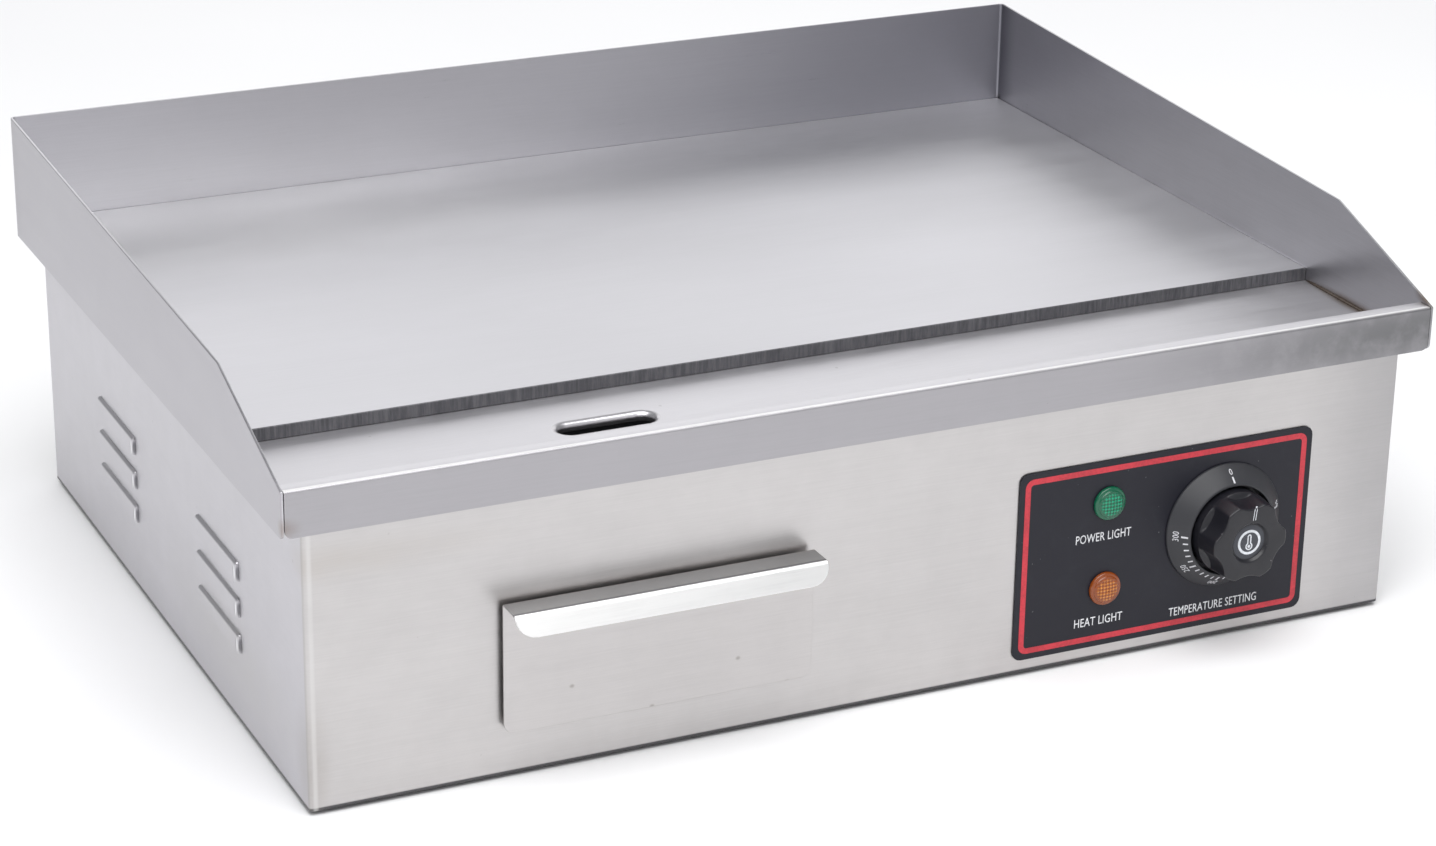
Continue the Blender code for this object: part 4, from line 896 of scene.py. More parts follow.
# ------------------------------------------------------------------ sub-assemblies
@dataclass
class CookTop:
    """Splash guard, gutter with its rim, cooking plate, drain lip and weld seams."""

    edge: float = 0.3 * MM
    lip: float = 2.0 * MM
    seam: float = 0.75 * MM
    low: Vector = field(default_factory=lambda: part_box("splash_guard")[0])
    high: Vector = field(default_factory=lambda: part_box("splash_guard")[1])

    @property
    def floor(self) -> float:
        """The height of the gutter's floor."""
        return self.low.z + SHEET

    def stains_and_painted_light(self) -> tuple[StainAndPaintedLight, ...]:
        """Heat tints left by welding, a painted dark reflection on the rim's right end, and
        painted shade on the rear and right walls.

        Returns:
            The heat tints, with the painted reflection and the painted shade.
        """
        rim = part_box("gutter_tray")[1].z
        front, side = self.low.y, self.high.x
        brown, straw, grey = (0.22, 0.15, 0.10), (0.42, 0.34, 0.25), (0.10, 0.105, 0.105)
        wall = self.high.z - 0.02
        return (
            # painted dark reflection along the right end of the rim's front face
            StainAndPaintedLight((side, front - 0.001, rim - 0.010), (0.20, 0.003, 0.030), grey, 0.92),
            StainAndPaintedLight((side, front + 0.004, rim + 0.004), (0.006, 0.012, 0.006), brown, 0.8, 0.7),
            StainAndPaintedLight((side - 0.004, front + 0.018, self.low.z), (0.020, 0.014, 0.008), straw, 0.7),
            StainAndPaintedLight((side, front + 0.060, self.low.z), (0.007, 0.050, 0.006), brown, 0.85, 0.8),
            StainAndPaintedLight((-side, front, rim - 0.016), (0.010, 0.006, 0.006), brown, 0.5),
            StainAndPaintedLight((side, self.high.y, self.low.z + 0.006), (0.006, 0.008, 0.005), brown, 0.7),
            # painted shade: the rear wall darkened, most towards the right, and the right wall
            # darkened a little
            StainAndPaintedLight((side - 0.03, self.high.y, wall), (0.34, 0.02, 0.2),
                  (0.18, 0.18, 0.205), 0.86, 1.0, 0.0),
            StainAndPaintedLight((-0.12, self.high.y, wall), (0.30, 0.02, 0.2),
                  (0.36, 0.355, 0.37), 0.55, 1.0, 0.0),
            StainAndPaintedLight((side, self.high.y, wall), (0.012, 0.26, 0.2),
                  (0.20, 0.20, 0.225), 0.28, 1.0, 0.0),
        )

    def sheets(self) -> None:
        """The guard, the gutter and the plate as clean sheets with softened edges."""
        front = self.low.y
        # painted shade: the left guard's outer face gets a darker tint than its inner faces
        outer = Band("X", self.low.x + 0.0008, self.low.x + 0.0003, (0.44, 0.43, 0.455))
        guard = BrushedSteel((0.56, 0.555, 0.58), Grain.UPRIGHT, 0.33, 0.10, (outer,),
                             self.stains_and_painted_light())
        sheet("splash_guard", "guard_sheet", guard.material("guard_steel"), self.edge)
        # painted highlight: a near-white line along the rim's top fold; painted shade: the rim's
        # front face tinted darker than the gutter
        fold = Band("Y", front + 0.0026, front + 0.0018, (0.99, 0.985, 0.98), 0.9)
        rim = Band("Y", front + 0.0009, front + 0.0003, (0.42, 0.41, 0.43))
        gutter = BrushedSteel((0.67, 0.66, 0.685), Grain.FLAT, 0.48, 0.10, (fold, rim),
                              self.stains_and_painted_light())
        sheet("gutter_tray", "gutter_sheet", gutter.material("gutter_steel"), self.edge)
        near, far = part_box("griddle_plate")
        plate = GroundPlate(near.y, (0.15, far.y - 0.045, far.z), (-0.19, far.y - 0.03, far.z))
        sheet("griddle_plate", "cooking_plate", plate.material("ground_steel"),
              slot="griddle_steel")

    def drain(self) -> None:
        """The slot's rolled lip: its section turns down from the floor into the chute."""
        low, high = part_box("drain_chute")
        flange = 9.0 * MM  # chute's flange and wall beyond its bore, at each end
        length, width = high.x - low.x - 2 * flange, high.y - low.y - 2 * flange
        centre = (low + high) / 2
        outline = rounded_box_path(length, width, width / 2 - 0.01 * MM, 12)
        path = np.column_stack([outline + (centre.x, centre.y),
                                np.full(len(outline), self.floor)])
        t = np.linspace(0.0, TURN / 4, 8)

        def roll(inward: float, down: float, top: float) -> np.ndarray:
            """A quarter turn from level to upright, as (outward, up) points."""
            return np.stack([self.lip - inward * np.sin(t), top - down * (1.0 - np.cos(t))], 1)

        over, under = roll(2.6 * MM, 2.4 * MM, 0.0), roll(2.0 * MM, 1.6 * MM, -0.8 * MM)[::-1]
        skirt = np.array([(-0.6, -4.0), (-0.1, -4.0)]) * MM
        look = BrushedSteel((0.54, 0.53, 0.55), Grain.FLAT, 0.30, 0.05)
        fit(carried("drain_lip", path, np.vstack([over, skirt, under])), "root",
            look.material("drain_lip_steel"), "stainless")
        # painted shade: the chute is dressed in a dark steel that stands for the shade inside the
        # slot
        dress_nodes(BrushedSteel((0.16, 0.16, 0.17), Grain.UPRIGHT).material("chute_painted_shade_steel"),
                    "drain_chute")

    def seams(self) -> None:
        """Weld seams: tubes whose radius ripples, pinched to a point at both ends."""
        look = PlainMetal((0.20, 0.165, 0.14), 0.45, 0.7, (0.07, 0.05, 0.04)).material("weld")
        front, back = self.low.y + 0.011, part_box("griddle_plate")[0].y - 0.001
        s = np.linspace(0.0, 1.0, 120)[:, None]
        a = np.linspace(0.0, TURN, 12, endpoint=False)[None, :]
        for name, side in (("gutter_weld_left", -1), ("gutter_weld_right", 1)):
            x = side * (self.high.x - 1.5 * MM)
            ends = np.minimum(1.0, 12.0 * np.minimum(s, 1.0 - s)) ** 0.5
            radius = self.seam * ends * (1.0 + 0.16 * np.sin(s * TURN * 34.0))
            points = np.stack([x + radius * np.cos(a) + 0.0 * s,
                               front + (back - front) * s + 0.0 * a,
                               self.floor + 0.3 * MM + radius * np.sin(a)], -1)
            fit(piece(name, points.reshape(-1, 3), grid_faces(120, 12, False, True), 80.0),
                "root", look, "stainless")

    def build(self) -> None:
        """Builds the whole top."""
        self.sheets()
        self.drain()
        self.seams()


@dataclass
class Housing:
    """Body shell, rear panel with its screws and gland, base plate and feet.

    The louvre groups' middles are measured back from the body's front, and the lowest row up
    from its bottom.
    """

    edge: float = 0.25 * MM
    screw_head: float = 3.8 * MM
    louvre_groups: tuple[float, float] = (115.7 * MM, 268.8 * MM)
    louvre_rows: int = 3
    louvre_lowest: float = 34.5 * MM
    louvre_pitch: float = 17.0 * MM
    louvre_length: float = 58.0 * MM
    recess: float = 0.55 * MM

    def sheets(self) -> None:
        """The folded body and the flat panels."""
        low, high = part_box("body_shell")
        left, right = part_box("drawer_front")
        corner, middle = low.x + 1.3 * MM, (low.z + high.z) / 2
        stains_and_painted_light = (
            StainAndPaintedLight((low.x + 0.010, low.y, high.z - 0.016), (0.10, 0.02, 0.012),
                  (0.46, 0.42, 0.38), 0.35),
            StainAndPaintedLight((low.x + 0.004, low.y, low.z + 0.020), (0.010, 0.02, 0.040),
                  (0.34, 0.31, 0.29), 0.45),
            StainAndPaintedLight((low.x, low.y + 0.10, low.z + 0.03), (0.02, 0.12, 0.035),
                  (0.50, 0.49, 0.47), 0.4),
            # painted shade and a painted highlight: a dark line along the front's left bend and a
            # light line beside it
            StainAndPaintedLight((corner, low.y, middle), (1.1 * MM, 0.003, 0.5), (0.36, 0.35, 0.34),
                  0.7, 0.8, 0.3),
            StainAndPaintedLight((corner + 3.0 * MM, low.y, middle), (1.6 * MM, 0.003, 0.5),
                  (0.66, 0.65, 0.64), 0.6, 0.8, 0.3),
            # painted shadow on the front panel under the drawer's lower edge
            StainAndPaintedLight(((left.x + right.x) / 2, low.y, left.z - 1.2 * MM),
                  ((right.x - left.x) / 2, 0.003, 1.3 * MM), (0.34, 0.33, 0.32), 0.6, 0.8, 0.3),
            *self.creases(low),
        )
        # the front face's own tint; painted shade darkening the body towards its right end;
        # painted shadow in a dark line along the bottom edge
        bands = (Band("Y", low.y + 0.003, low.y + 0.001, (0.548, 0.532, 0.528)),
                 Band("X", 0.20, high.x, (0.42, 0.41, 0.415), 0.9),
                 Band("Z", low.z + 0.0016, low.z + 0.0009, (0.06, 0.06, 0.065), 0.92))
        shell = BrushedSteel((0.55, 0.54, 0.565), Grain.UPRIGHT, 0.36, 0.16, bands, stains_and_painted_light,
                             0.10)
        sheet("body_shell", "body_skin", shell.material("body_steel"))
        rear = BrushedSteel((0.62, 0.61, 0.60), Grain.UPRIGHT, 0.36, 0.12)
        sheet("rear_panel", "rear_sheet", rear.material("rear_steel"), self.edge)
        base = BrushedSteel((0.52, 0.52, 0.50), Grain.FLAT, 0.44, 0.14)
        sheet("base_plate", "base_sheet", base.material("base_steel"), self.edge,
              slot="zinc_steel")

    def creases(self, low: Vector) -> Iterable[StainAndPaintedLight]:
        """Painted shade in the creases and a painted highlight on the rounded end of each side
        louvre.

        Args:
            low: the body's lowest corner.

        Returns:
            Three painted tints a louvre, which reach right across to the other side's louvre.
        """
        dark, bright = (0.10, 0.10, 0.11), (0.96, 0.96, 0.97)
        # painted shade at the front crease, a painted highlight on the rounded end, and fainter
        # painted shade behind it
        lines = ((0.1 * MM, 0.8 * MM, 5.2 * MM, dark, 0.8),
                 (1.5 * MM, 0.6 * MM, 4.4 * MM, bright, 0.8),
                 (2.7 * MM, 0.5 * MM, 4.0 * MM, dark, 0.5))
        for back in self.louvre_groups:
            end = low.y + back - self.louvre_length / 2
            for row in range(self.louvre_rows):
                middle = low.z + self.louvre_lowest + row * self.louvre_pitch + 3.8 * MM
                for behind, half, tall, tint, strength in lines:
                    yield StainAndPaintedLight((0.0, end + behind, middle), (1.0, half, tall), tint, strength,
                                0.6, 0.0)

    def cross_head(self, r: np.ndarray, h: np.ndarray, a: np.ndarray) -> Grids:
        """Sinks a cross into a screw's head: two slots, deepest in the middle.

        Args:
            r: Radii of the grid of points.
            h: Heights along the axis.
            a: Angles round the axis.

        Returns:
            The new radii and heights.
        """
        x, y = np.abs(r * np.cos(a)), np.abs(r * np.sin(a))
        across, along = np.minimum(x, y), np.maximum(x, y)
        slot = np.clip((self.recess - across) / (0.25 * MM), 0.0, 1.0)
        reach = np.clip((2.1 * MM - along) / (1.2 * MM), 0.0, 1.0)
        return r, h - 1.2 * MM * slot * reach * (h > 0.5 * MM)

    def screws(self) -> None:
        """The rear panel's domed screws with cross recesses."""
        look = PlainMetal((0.62, 0.61, 0.58), 0.30).material("rear_screw_steel")
        head, tall = self.screw_head, 2.2 * MM
        dome = [(head * v, tall - 1.7 * MM * v ** 2.4, 0.0) for v in np.linspace(0.0, 1.0, 22)]
        shank = [(head, 0.0, 0.1 * MM), (2.0 * MM, 0.0, 0.0), (2.0 * MM, -6.0 * MM, 0.0),
                 (1.2 * MM, -7.0 * MM, 0.0), (0.0, -7.0 * MM, 0.0)]
        for corner in ("lower_left", "lower_right", "upper_left", "upper_right"):
            node = "rear_screw_" + corner
            fit(turned("rear_cross_screw_" + corner, dome + shank, Facing.REAR,
                       rear_centre(node, tall), 64, self.cross_head, 50.0),
                "root", look, "zinc_steel", node)

    def gland(self) -> None:
        """The cable gland: a hexagon under a ribbed cap, with an open bore."""
        tall, nut = 7.5 * MM, 3.4 * MM
        bore, thread = 4.6 * MM, 7.8 * MM

        def shaped(r: np.ndarray, h: np.ndarray, a: np.ndarray) -> Grids:
            """Six flats low down, and ribs above them.

            Args:
                r: Radii of the grid of points.
                h: Heights along the axis.
                a: Angles round the axis.

            Returns:
                The new radii and heights.
            """
            flat = 9.05 * MM / np.cos((a + TURN / 12) % (TURN / 6) - TURN / 12)
            ribs = 0.25 * MM * np.cos(a * 24.0)
            outer = (r > 8.2 * MM) & (h >= -CLEAR)
            return np.where(outer & (h < nut), np.minimum(r, flat),
                            np.where(outer, r + ribs, r)), h

        profile = [(thread, -9.0 * MM, 0.0), (thread, 0.0, 0.0), (10.5 * MM, 0.0, 0.0),
                   (10.5 * MM, 3.3 * MM, 0.0), (9.0 * MM, 3.5 * MM, 0.0),
                   (9.0 * MM, 6.2 * MM, 0.5 * MM), (7.4 * MM, tall, 0.4 * MM),
                   (bore, tall, 0.3 * MM), (bore, -9.0 * MM, 0.0)]
        look = Moulded((0.022, 0.022, 0.024), 0.42).material("gland_nylon")
        fit(turned("gland_body", profile, Facing.REAR, rear_centre("cable_gland", tall), 144,
                   shaped, 30.0), "root", look, "black_plastic", "cable_gland")
        dress_nodes(look, "gland_locknut")

    def feet(self) -> None:
        """Rubber pads with a well for the screw, edges rounded."""
        look = Moulded((0.018, 0.018, 0.018), 0.75, skin=900.0, depth=0.00006).material(
            "foot_rubber")
        steel = PlainMetal((0.58, 0.58, 0.55), 0.38).material("foot_screw_steel")
        bore, well, pad, tall = 2.4 * MM, 4.2 * MM, 8.0 * MM, 1.9 * MM
        profile = [(bore, tall, 0.0), (pad, tall, 0.3 * MM), (pad, 0.0, 0.5 * MM),
                   (well, 0.0, 0.3 * MM), (well, 1.3 * MM, 0.0), (bore, 1.3 * MM, 0.0)]
        for corner in CORNERS:
            low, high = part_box("foot_" + corner)
            centre = ((low.x + high.x) / 2, (low.y + high.y) / 2, 0.0)
            fit(turned("foot_pad_" + corner, profile, Facing.UP, centre, 64), "root", look,
                "rubber", "foot_" + corner)
            dress_nodes(steel, "foot_screw_" + corner)

    def build(self) -> None:
        """Builds the whole housing."""
        self.sheets()
        self.screws()
        self.gland()
        self.feet()


@dataclass
class Drawer:
    """The grease drawer's front with its folded handle, its tray and its runners."""

    edge: float = 0.22 * MM

    def build(self) -> None:
        """Builds the drawer with the spot-weld marks on its front, and painted shade and a painted
        highlight on its handle.
        """
        low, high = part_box("drawer_front")
        marks = tuple(StainAndPaintedLight((x, high.y - 0.001, z), (0.0016, 0.004, 0.0013),
                            (0.30, 0.28, 0.26), 0.7, 0.8) for x, z in SPOT_WELDS)
        lip = low.y + 0.0045  # where the handle turns down into its lip
        # painted shade on the handle's flange and in a dark line at its fold, and a painted
        # highlight on its lip
        bands = (Band("Y", high.y - 0.0015, high.y - 0.0035, (0.50, 0.497, 0.50)),
                 Band("Y", lip + 0.0019, lip + 0.0014, (0.22, 0.22, 0.23), 0.7),
                 Band("Y", lip + 0.0009, lip + 0.0004, (0.98, 0.98, 0.98)))
        front = BrushedSteel((0.54, 0.522, 0.518), Grain.UPRIGHT, 0.35, 0.16, bands, marks,
                             0.08)
        sheet("drawer_front", "drawer_face", front.material("drawer_steel"), self.edge,
              "drawer")
        tray = BrushedSteel((0.60, 0.60, 0.59), Grain.FLAT_SIDE, 0.38, 0.12)
        sheet("drawer_tray", "drawer_pan", tray.material("pan_steel"), self.edge, "drawer")
        dress_nodes(PlainMetal((0.52, 0.52, 0.49), 0.42).material("runner_steel"),
                    "drawer_rail_left", "drawer_rail_right")


@dataclass
class ControlPanel:
    """The printed label, two lamps and the dial's bezel with its scale."""

    border_inset: float = 4.2 * MM
    border_width: float = 2.7 * MM
    cone_outer: tuple[float, float] = (30.0 * MM, 0.9 * MM)
    cone_inner: tuple[float, float] = (22.5 * MM, 8.3 * MM)

    def label(self) -> None:
        """The label's film, its red border and its plain white words."""
        low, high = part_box("control_label")
        film = Moulded((0.011, 0.011, 0.018), 0.42, skin=2400.0, depth=0.00001,
                       wear=(0.030, 0.032, 0.040), dust=0.15, gloss=0.32)
        dress_nodes(film.material("label_film"), "control_label")
        centre = (low + high) / 2
        face = (centre.x, low.y, centre.z)
        outline = rounded_box_path(high.x - low.x - 2 * self.border_inset,
                                   high.z - low.z - 2 * self.border_inset, 2.9 * MM)
        points, faces = ribbon(outline, self.border_width, FILM)
        fit(piece("label_border", oriented(points, Facing.FRONT, face), faces, 30.0), "root",
            Ink((0.60, 0.032, 0.052)).material("red_ink"), "label")
        words = Print()
        for text, x, z, width, height in WORDS:
            points, faces = lettering(text, (width, height), 1.04)
            points *= (1.0, 1.0, FILM)
            words.add(oriented(points, Facing.FRONT, (x, low.y, z)), faces)
        fit(words.piece("label_words"), "root", Ink((0.84, 0.85, 0.88)).material("white_ink"),
            "label")

    def lamp(self, name: str, look: LampLens, slot: str) -> None:
        """A domed lens: a paraboloid of facets inside a flat rim.

        The facets add (cos x + cos z) / 2 of their depth to the dome, one wave for each pitch.

        Args:
            name: The start of its CAD node's name.
            look: Its material.
            slot: Its slot name, handed on to fit.
        """
        node, core, edge = f"{name}_lamp_lens", 6.2 * MM, 8.0 * MM

        def shaped(r: np.ndarray, h: np.ndarray, a: np.ndarray) -> Grids:
            """Raises the facets, fading towards the rim.

            Args:
                r: Radii of the grid of points.
                h: Heights along the axis.
                a: Angles round the axis.

            Returns:
                The new radii and heights.
            """
            wave = np.cos(r * np.cos(a) * TURN / FACET) + np.cos(r * np.sin(a) * TURN / FACET)
            fade = np.clip((core - r) / (0.8 * MM), 0.0, 1.0) * (h > 1.5 * MM)
            return r, h + 0.12 * MM * wave * fade

        dome = [(v * core, 3.0 * MM - 0.7 * MM * v ** 2, 0.0) for v in np.linspace(0, 1, 34)]
        rim = [(6.5 * MM, 1.7 * MM, 0.3 * MM), (7.6 * MM, 1.5 * MM, 0.4 * MM),
               (edge, 0.7 * MM, 0.3 * MM), (edge, 0.0, 0.0), (0.0, 0.0, 0.0)]
        fit(turned(f"{name}_lens", dome + rim, Facing.FRONT, rear_centre(node), 120, shaped,
                   60.0), "root", look.material(f"{name}_lens_plastic"), slot, node)

    def lamps(self) -> None:
        """The green power lamp and the amber heating lamp."""
        # each lamp: its name, the lens's own deep tint, the colour of its painted facet
        # highlights, and its slot
        for name, deep, bright, slot in (
                ("power", (0.001, 0.10, 0.048), (0.004, 0.36, 0.19), "green_lens"),
                ("heat", (0.24, 0.050, 0.005), (0.60, 0.22, 0.032), "amber_lens")):
            low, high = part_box(f"{name}_lamp_lens")
            self.lamp(name, LampLens(deep, bright, tuple((low + high) / 2)), slot)
        dress_nodes(Moulded((0.72, 0.71, 0.66), 0.5).material("lamp_nylon"),
                    "power_lamp_body", "heat_lamp_body")

    def on_cone(self, r: np.ndarray, clock: np.ndarray, lift: Any) -> np.ndarray:
        """Points on the bezel's cone as (across, up, out).

        Across is r sin(clock), up is r cos(clock), and out falls in a straight line from the
        inner edge to the outer edge; lift is added along the cone's normal.

        Args:
            r: Radii from the axis.
            clock: Angles from the top.
            lift: The distance off the cone.

        Returns:
            One point for each radius and angle.
        """
        (r1, h1), (r0, h0) = self.cone_outer, self.cone_inner
        slope = np.array([r1 - r0, h1 - h0]) / math.hypot(r1 - r0, h1 - h0)
        reach = r - slope[1] * lift
        out = h0 + (r - r0) * slope[1] / slope[0] + slope[0] * lift
        return np.stack([reach * np.sin(clock), reach * np.cos(clock), out + 0.0 * clock], -1)

    def scale(self) -> Print:
        """Ticks and plain numbers round the cone, from 50 to 300 in steps of 10.

        Returns:
            The marks, in their places on the cone.
        """
        marks = Print()
        start, step = math.radians(75.0), math.radians(39.0)
        clocks = np.concatenate([[0.0], start + step / 5 * np.arange(26)])
        for i, clock in enumerate(clocks):
            major = i == 0 or (i - 1) % 5 == 0
            far, wide = (25.3, 0.42) if major else (24.7, 0.33)
            r = np.array([23.0, 23.0, far, far]) * MM
            half = wide * MM / r
            angles = clock + half * np.array([1, -1, -1, 1])
            ground = self.on_cone(r, angles, 0.0)
            marks.bar(ground, self.on_cone(r, angles, FILM) - ground)
        numbers = [("0", 0.0)] + [(str(50 * (i + 1)), start + step * i) for i in range(6)]
        for text, clock in numbers:
            points, faces = lettering(text, (1.55 * MM * len(text), 2.9 * MM), 1.05)
            r = 27.1 * MM + points[:, 1] * 0.712
            marks.add(self.on_cone(r, clock + points[:, 0] / r, points[:, 2] * FILM), faces)
        return marks

    def dial(self) -> None:
        """The bezel: a cone turned from its section, with its printed scale."""
        centre = rear_centre("dial_bezel")
        (r1, h1), (r0, h0) = self.cone_outer, self.cone_inner
        bore, well, floor = 5.1 * MM, 21.5 * MM, 1.5 * MM
        profile = [(bore, 0.0, 0.0), (r1, 0.0, 0.0), (r1, h1, 0.5 * MM), (r0, h0, 0.6 * MM),
                   (well, h0, 0.4 * MM), (well, floor, 0.0), (bore, floor, 0.0)]
        look = Moulded((0.028, 0.029, 0.034), 0.46, skin=2200.0, depth=0.00002,
                       wear=(0.05, 0.05, 0.055))
        fit(turned("bezel_ring", profile, Facing.FRONT, centre, 160, None, 35.0), "root",
            look.material("bezel_plastic"), "black_plastic", "dial_bezel")
        marks = self.scale()
        marks.place(Facing.FRONT, centre)
        fit(marks.piece("dial_scale"), "root", Ink((0.80, 0.81, 0.85)).material("scale_ink"),
            "black_plastic")

    def build(self) -> None:
        """Builds the whole panel."""
        self.label()
        self.lamps()
        self.dial()


@dataclass
class Knob:
    """The scooped knob with its pointer and its cap with a plain thermometer sign."""

    scoops: int = 6
    scoop_radius: float = 14.0 * MM
    scoop_offset: float = 30.4 * MM
    wall: float = 19.0 * MM
    skirt: float = 9.0 * MM
    pointer: float = math.radians(6.0)
    blend: float = MM / 2.6

    def scooped(self, r: np.ndarray, h: np.ndarray, a: np.ndarray) -> Grids:
        """Pulls the wall in where round cutters would meet it.

        A cutter's near side lies at d cos f - sqrt(R^2 - d^2 sin^2 f), with d its offset, R its
        radius and f the angle from its middle; a soft minimum with the wall rounds the ribs.

        Args:
            r: Radii of the grid of points.
            h: Heights along the axis.
            a: Angles round the axis.

        Returns:
            The new radii and heights.
        """
        share = TURN / self.scoops
        f = (a - TURN / 4 + share / 2) % share - share / 2
        d = self.scoop_offset
        inside = np.maximum(self.scoop_radius ** 2 - (d * np.sin(f)) ** 2, 0.0)
        cut = np.where(inside > 0.0, d * np.cos(f) - np.sqrt(inside), 1.3 * self.wall)
        soft = -np.logaddexp(-self.wall / self.blend, -cut / self.blend) * self.blend
        depth = np.maximum(self.wall - soft, 0.0)
        rise = np.clip((h - self.skirt) / (1.6 * MM), 0.0, 1.0)
        near = np.clip((r - 10.0 * MM) / (6.0 * MM), 0.0, 1.0)
        weight = rise * rise * (3.0 - 2.0 * rise) * near
        return r - depth * weight, h

    def build(self) -> None:
        """Builds the knob, its cap and their printed marks."""
        low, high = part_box("control_knob")
        axis = rear_centre("control_knob")
        tall = high.y - low.y - FILM  # leaves room for the pointer's ink
        top = tall - 1.5 * MM
        outer, inner, roof = 20.0 * MM, 16.5 * MM, 4.0 * MM
        wall = [(outer - 0.9 * MM * s, self.skirt + (tall - 1.0 * MM - self.skirt) * s, 0.0)
                for s in np.linspace(0.06, 0.96, 24)]
        profile = [(0.0, roof, 0.0), (inner, roof, 0.0), (inner, 0.0, 0.0),
                   (outer, 0.0, 0.2 * MM), (outer, self.skirt, 0.3 * MM), *wall,
                   (19.0 * MM, tall, 0.9 * MM), (9.6 * MM, tall, 0.5 * MM),
                   (8.6 * MM, top, 0.2 * MM), (0.0, top, 0.0)]
        black = Moulded((0.010, 0.010, 0.014), 0.34, skin=2200.0, depth=0.000015,
                        wear=(0.04, 0.04, 0.045))
        fit(turned("knob_shell", profile, Facing.FRONT, axis, 288, self.scooped, 35.0), "knob",
            black.material("knob_plastic"), "black_plastic", "control_knob")
        disc = [(0.0, top + 0.35 * MM, 0.0), (6.6 * MM, top + 0.35 * MM, 0.4 * MM),
                (8.2 * MM, top + 0.05 * MM, 0.0), (8.2 * MM, top - 0.3 * MM, 0.0),
                (0.0, top - 0.3 * MM, 0.0)]
        cap = Moulded((0.040, 0.043, 0.055), 0.30, skin=2200.0, depth=0.000015,
                      wear=(0.06, 0.06, 0.075))
        fit(turned("knob_badge", disc, Facing.FRONT, axis, 96), "knob",
            cap.material("cap_plastic"), "black_plastic", "knob_cap")
        self.marks(axis, tall, top + 0.35 * MM)
        dress_nodes(PlainMetal((0.62, 0.46, 0.20), 0.34).material("shaft_brass"),
                    "thermostat_shaft")

    def marks(self, axis: Sequence[float], face: float, cap: float) -> None:
        """The pointer's two lines and dot, and a thermometer in a ring.

        Args:
            axis: the middle of the knob's rear.
            face: the height of the knob's face above it.
            cap: the height of the cap's face above it.
        """
        white = Ink((0.80, 0.83, 0.88)).material("knob_ink")
        lines = Print()
        lift = np.array([0.0, 0.0, FILM])
        cos, sin = math.cos(self.pointer), math.sin(self.pointer)
        turn = np.array([[cos, sin], [-sin, cos]])
        for x, half, near, far in ((-0.60, 0.15, 11.0, 16.6), (0.60, 0.15, 11.0, 16.6),
                                   (0.0, 0.42, 17.0, 17.8)):
            flat = np.array([(x - half, near), (x + half, near), (x + half, far),
                             (x - half, far)]) * MM @ turn.T
            lines.bar(np.column_stack([flat, np.full(4, face)]), lift)
        lines.place(Facing.FRONT, axis)
        fit(lines.piece("knob_pointer"), "knob", white, "black_plastic")
        a = np.linspace(0.0, TURN, 72, endpoint=False)
        round_path = np.stack([np.cos(a), np.sin(a)], 1)
        bulb = np.linspace(TURN * 0.25 + 0.5, TURN * 1.25 - 0.5, 30)
        tip = np.linspace(0.0, TURN / 2, 12)
        glass = np.vstack([
            np.stack([1.55 * np.cos(bulb), 1.55 * np.sin(bulb) - 2.0], 1),
            np.stack([0.74 * np.cos(tip), 0.74 * np.sin(tip) + 2.8], 1)]) * MM
        dot = round_path[::6] * 0.4 * MM - (0.0, 2.0 * MM)
        sign = Print()
        for path, width in ((round_path * 5.35 * MM, 1.2 * MM), (glass, 0.6 * MM),
                            (dot, 0.75 * MM)):
            points, faces = ribbon(path, width, FILM)
            sign.add(oriented(points + (0.0, 0.0, cap), Facing.FRONT, axis), faces.tolist())
        fit(sign.piece("knob_sign"), "knob", white, "black_plastic")


@dataclass
class Interior:
    """Everything inside the body keeps its CAD shape and gets its own finish."""

    def build(self) -> None:
        """Dresses the heating deck, the thermostat and the wiring."""
        sheath = PlainMetal((0.17, 0.17, 0.155), 0.55, 0.6, (0.10, 0.09, 0.075))
        ceramic = Moulded((0.78, 0.76, 0.70), 0.6, skin=1500.0, depth=0.00004,
                          wear=(0.66, 0.62, 0.55))
        for finish, name, nodes in (
                (sheath, "element_sheath_metal",
                 [f"heating_element_{row}" for row in ("front", "middle", "rear")]),
                (PlainMetal((0.55, 0.55, 0.51), 0.40), "zinc_plate",
                 [f"{kind}_{side}" for kind in ("clamp_bar", "shield_bolt")
                  for side in ("left", "right")]
                 + [f"{kind}_{corner}" for kind in ("clamp_screw", "top_screw")
                    for corner in CORNERS]),
                (BrushedSteel((0.50, 0.50, 0.48), Grain.FLAT, 0.42), "shield_steel",
                 ["heat_shield"]),
                (PlainMetal((0.62, 0.46, 0.20), 0.36), "link_brass",
                 ["link_bar_live", "link_bar_neutral"]),
                (PlainMetal((0.68, 0.34, 0.20), 0.34), "bulb_copper",
                 ["sensor_bulb", "capillary_tube"]),
                (Fibre((0.80, 0.79, 0.73)), "blanket_fibre", ["insulation_blanket"]),
                (ceramic, "glazed_ceramic", ["thermostat_body", "terminal_block"]),
                (Fibre((0.74, 0.73, 0.69), 1500.0), "lead_sleeve",
                 ["supply_lead", "switched_lead", "neutral_lead"])):
            dress_nodes(finish.material(name), *nodes)


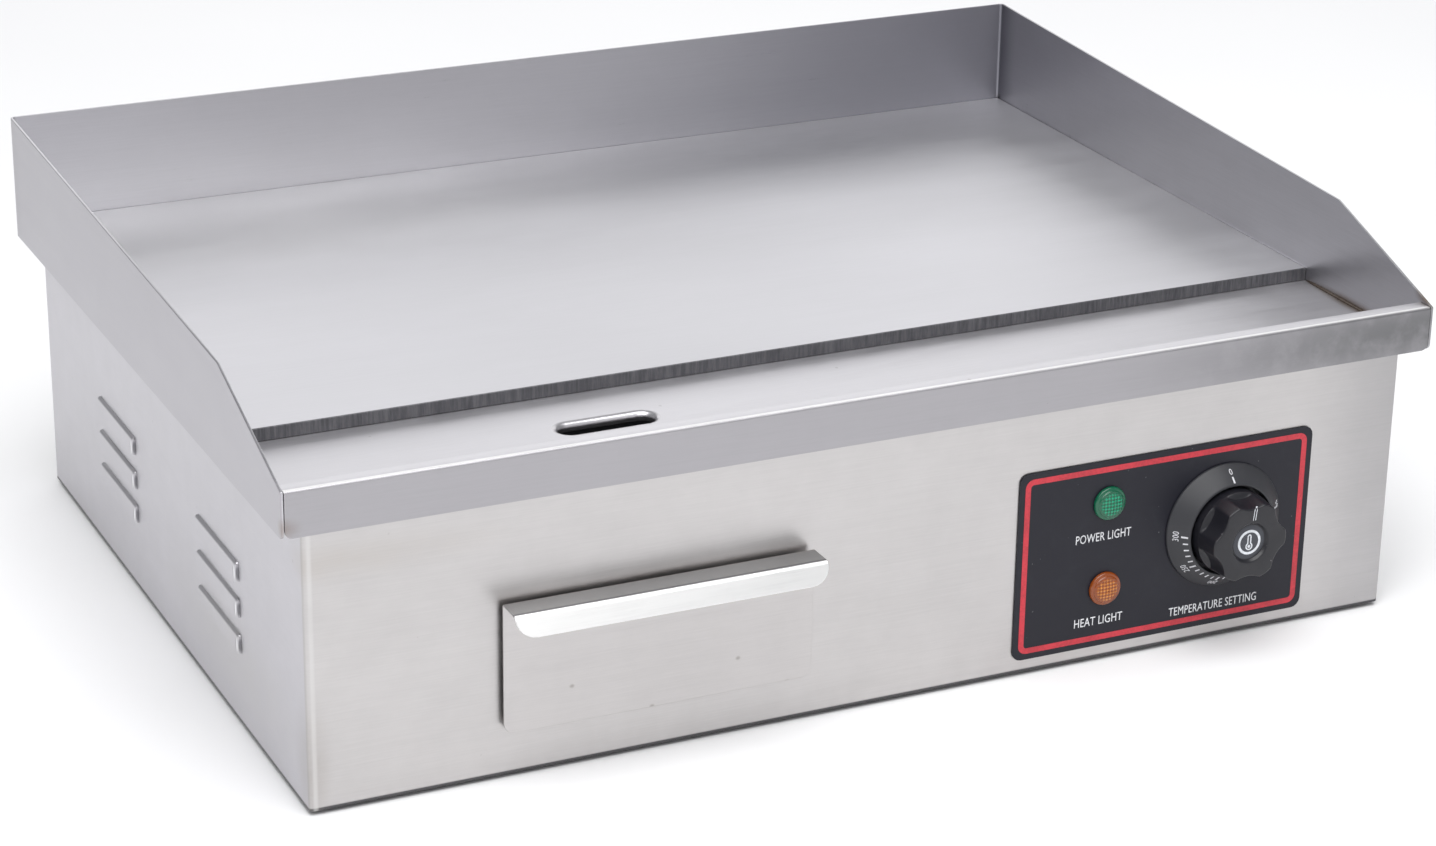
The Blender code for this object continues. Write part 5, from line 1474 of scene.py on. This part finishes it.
# ------------------------------------------------------------------ studio
@dataclass
class Studio:
    """A plain pale floor, soft light and the camera, whose axes are right, up and back."""

    eye: Point = (-0.6811, -1.4583, 0.7130)
    right: Point = (0.90651962, -0.42193903, 0.01377049)
    up: Point = (0.14603705, 0.34402611, 0.92753394)
    back: Point = (-0.39610018, -0.83881672, 0.37348515)
    lens: float = 90.86
    world: float = 0.42
    floor_reach: float = 40.0

    def lamp(self, name: str, place: Point, target: Point, size: tuple[float, float],
             power: float, colour: Colour = (1.0, 1.0, 1.0)) -> None:
        """A soft box that faces a target.

        Args:
            name: Its name.
            place: Its middle.
            target: The point it faces.
            size: Its width and height.
            power: Its power in watts.
            colour: The colour of its light.
        """
        data = bpy.data.lights.new(name, "AREA")
        data.shape = "RECTANGLE"
        data.size, data.size_y = size
        data.energy = power
        data.color = colour
        lamp = bpy.data.objects.new(name, data)
        bpy.context.scene.collection.objects.link(lamp)
        lamp.visible_camera = False
        lamp.location = place
        lamp.rotation_euler = (Vector(place) - Vector(target)).to_track_quat("Z", "Y").to_euler()

    def build(self) -> None:
        """Builds the studio."""
        scene = bpy.context.scene
        scene.view_settings.view_transform = "Standard"
        corners = np.array([(-1, -1, 0), (1, -1, 0), (1, 1, 0), (-1, 1, 0)], float)
        floor = piece("studio_floor", corners * self.floor_reach, [[0, 1, 2, 3]])
        graph = Graph("studio_paper", Roughness=0.9)
        paper = graph.noise(3.0, 2.0, 0.5).ramp(0.2, 0.8)
        floor.data.materials.append(graph.dress(Base_Color=graph.mix(
            paper, (0.86, 0.86, 0.87), (0.88, 0.88, 0.885))))
        sky = bpy.data.worlds.new("studio_sky")
        sky.use_nodes = True
        ground = sky.node_tree.nodes["Background"]
        ground.inputs["Color"].default_value = (0.97, 0.98, 1.0, 1.0)
        ground.inputs["Strength"].default_value = self.world
        scene.world = sky
        middle = (0.0, 0.0, 0.1)
        self.lamp("top_box", (-0.3, -0.9, 2.4), (0.0, -0.3, 0.0), (2.4, 2.4), 70.0)
        self.lamp("rear_box", (1.1, 2.4, 1.15), middle, (3.4, 1.8), 20.0)
        self.lamp("front_box", (0.1, -2.0, 1.05), middle, (1.3, 0.9), 3.7, (1.0, 0.99, 0.97))
        self.lamp("side_box", (-1.6, -1.5, 1.7), middle, (1.0, 1.0), 9.0)
        data = bpy.data.cameras.new("camera")
        data.lens = self.lens
        data.sensor_width = 36.0
        data.clip_start, data.clip_end = 0.05, 60.0
        camera = bpy.data.objects.new("camera", data)
        scene.collection.objects.link(camera)
        axes = Matrix((self.right, self.up, self.back)).transposed().to_4x4()
        camera.matrix_world = Matrix.Translation(self.eye) @ axes
        scene.camera = camera


def main() -> None:
    """Builds every sub-assembly in order."""
    logging.basicConfig(level=logging.INFO, format="%(message)s")
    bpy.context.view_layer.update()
    for part in (Studio(), CookTop(), Housing(), Drawer(), ControlPanel(), Knob(), Interior()):
        LOG.info("building %s", type(part).__name__)
        part.build()
    bpy.context.view_layer.update()


if __name__ == "__main__":
    main()
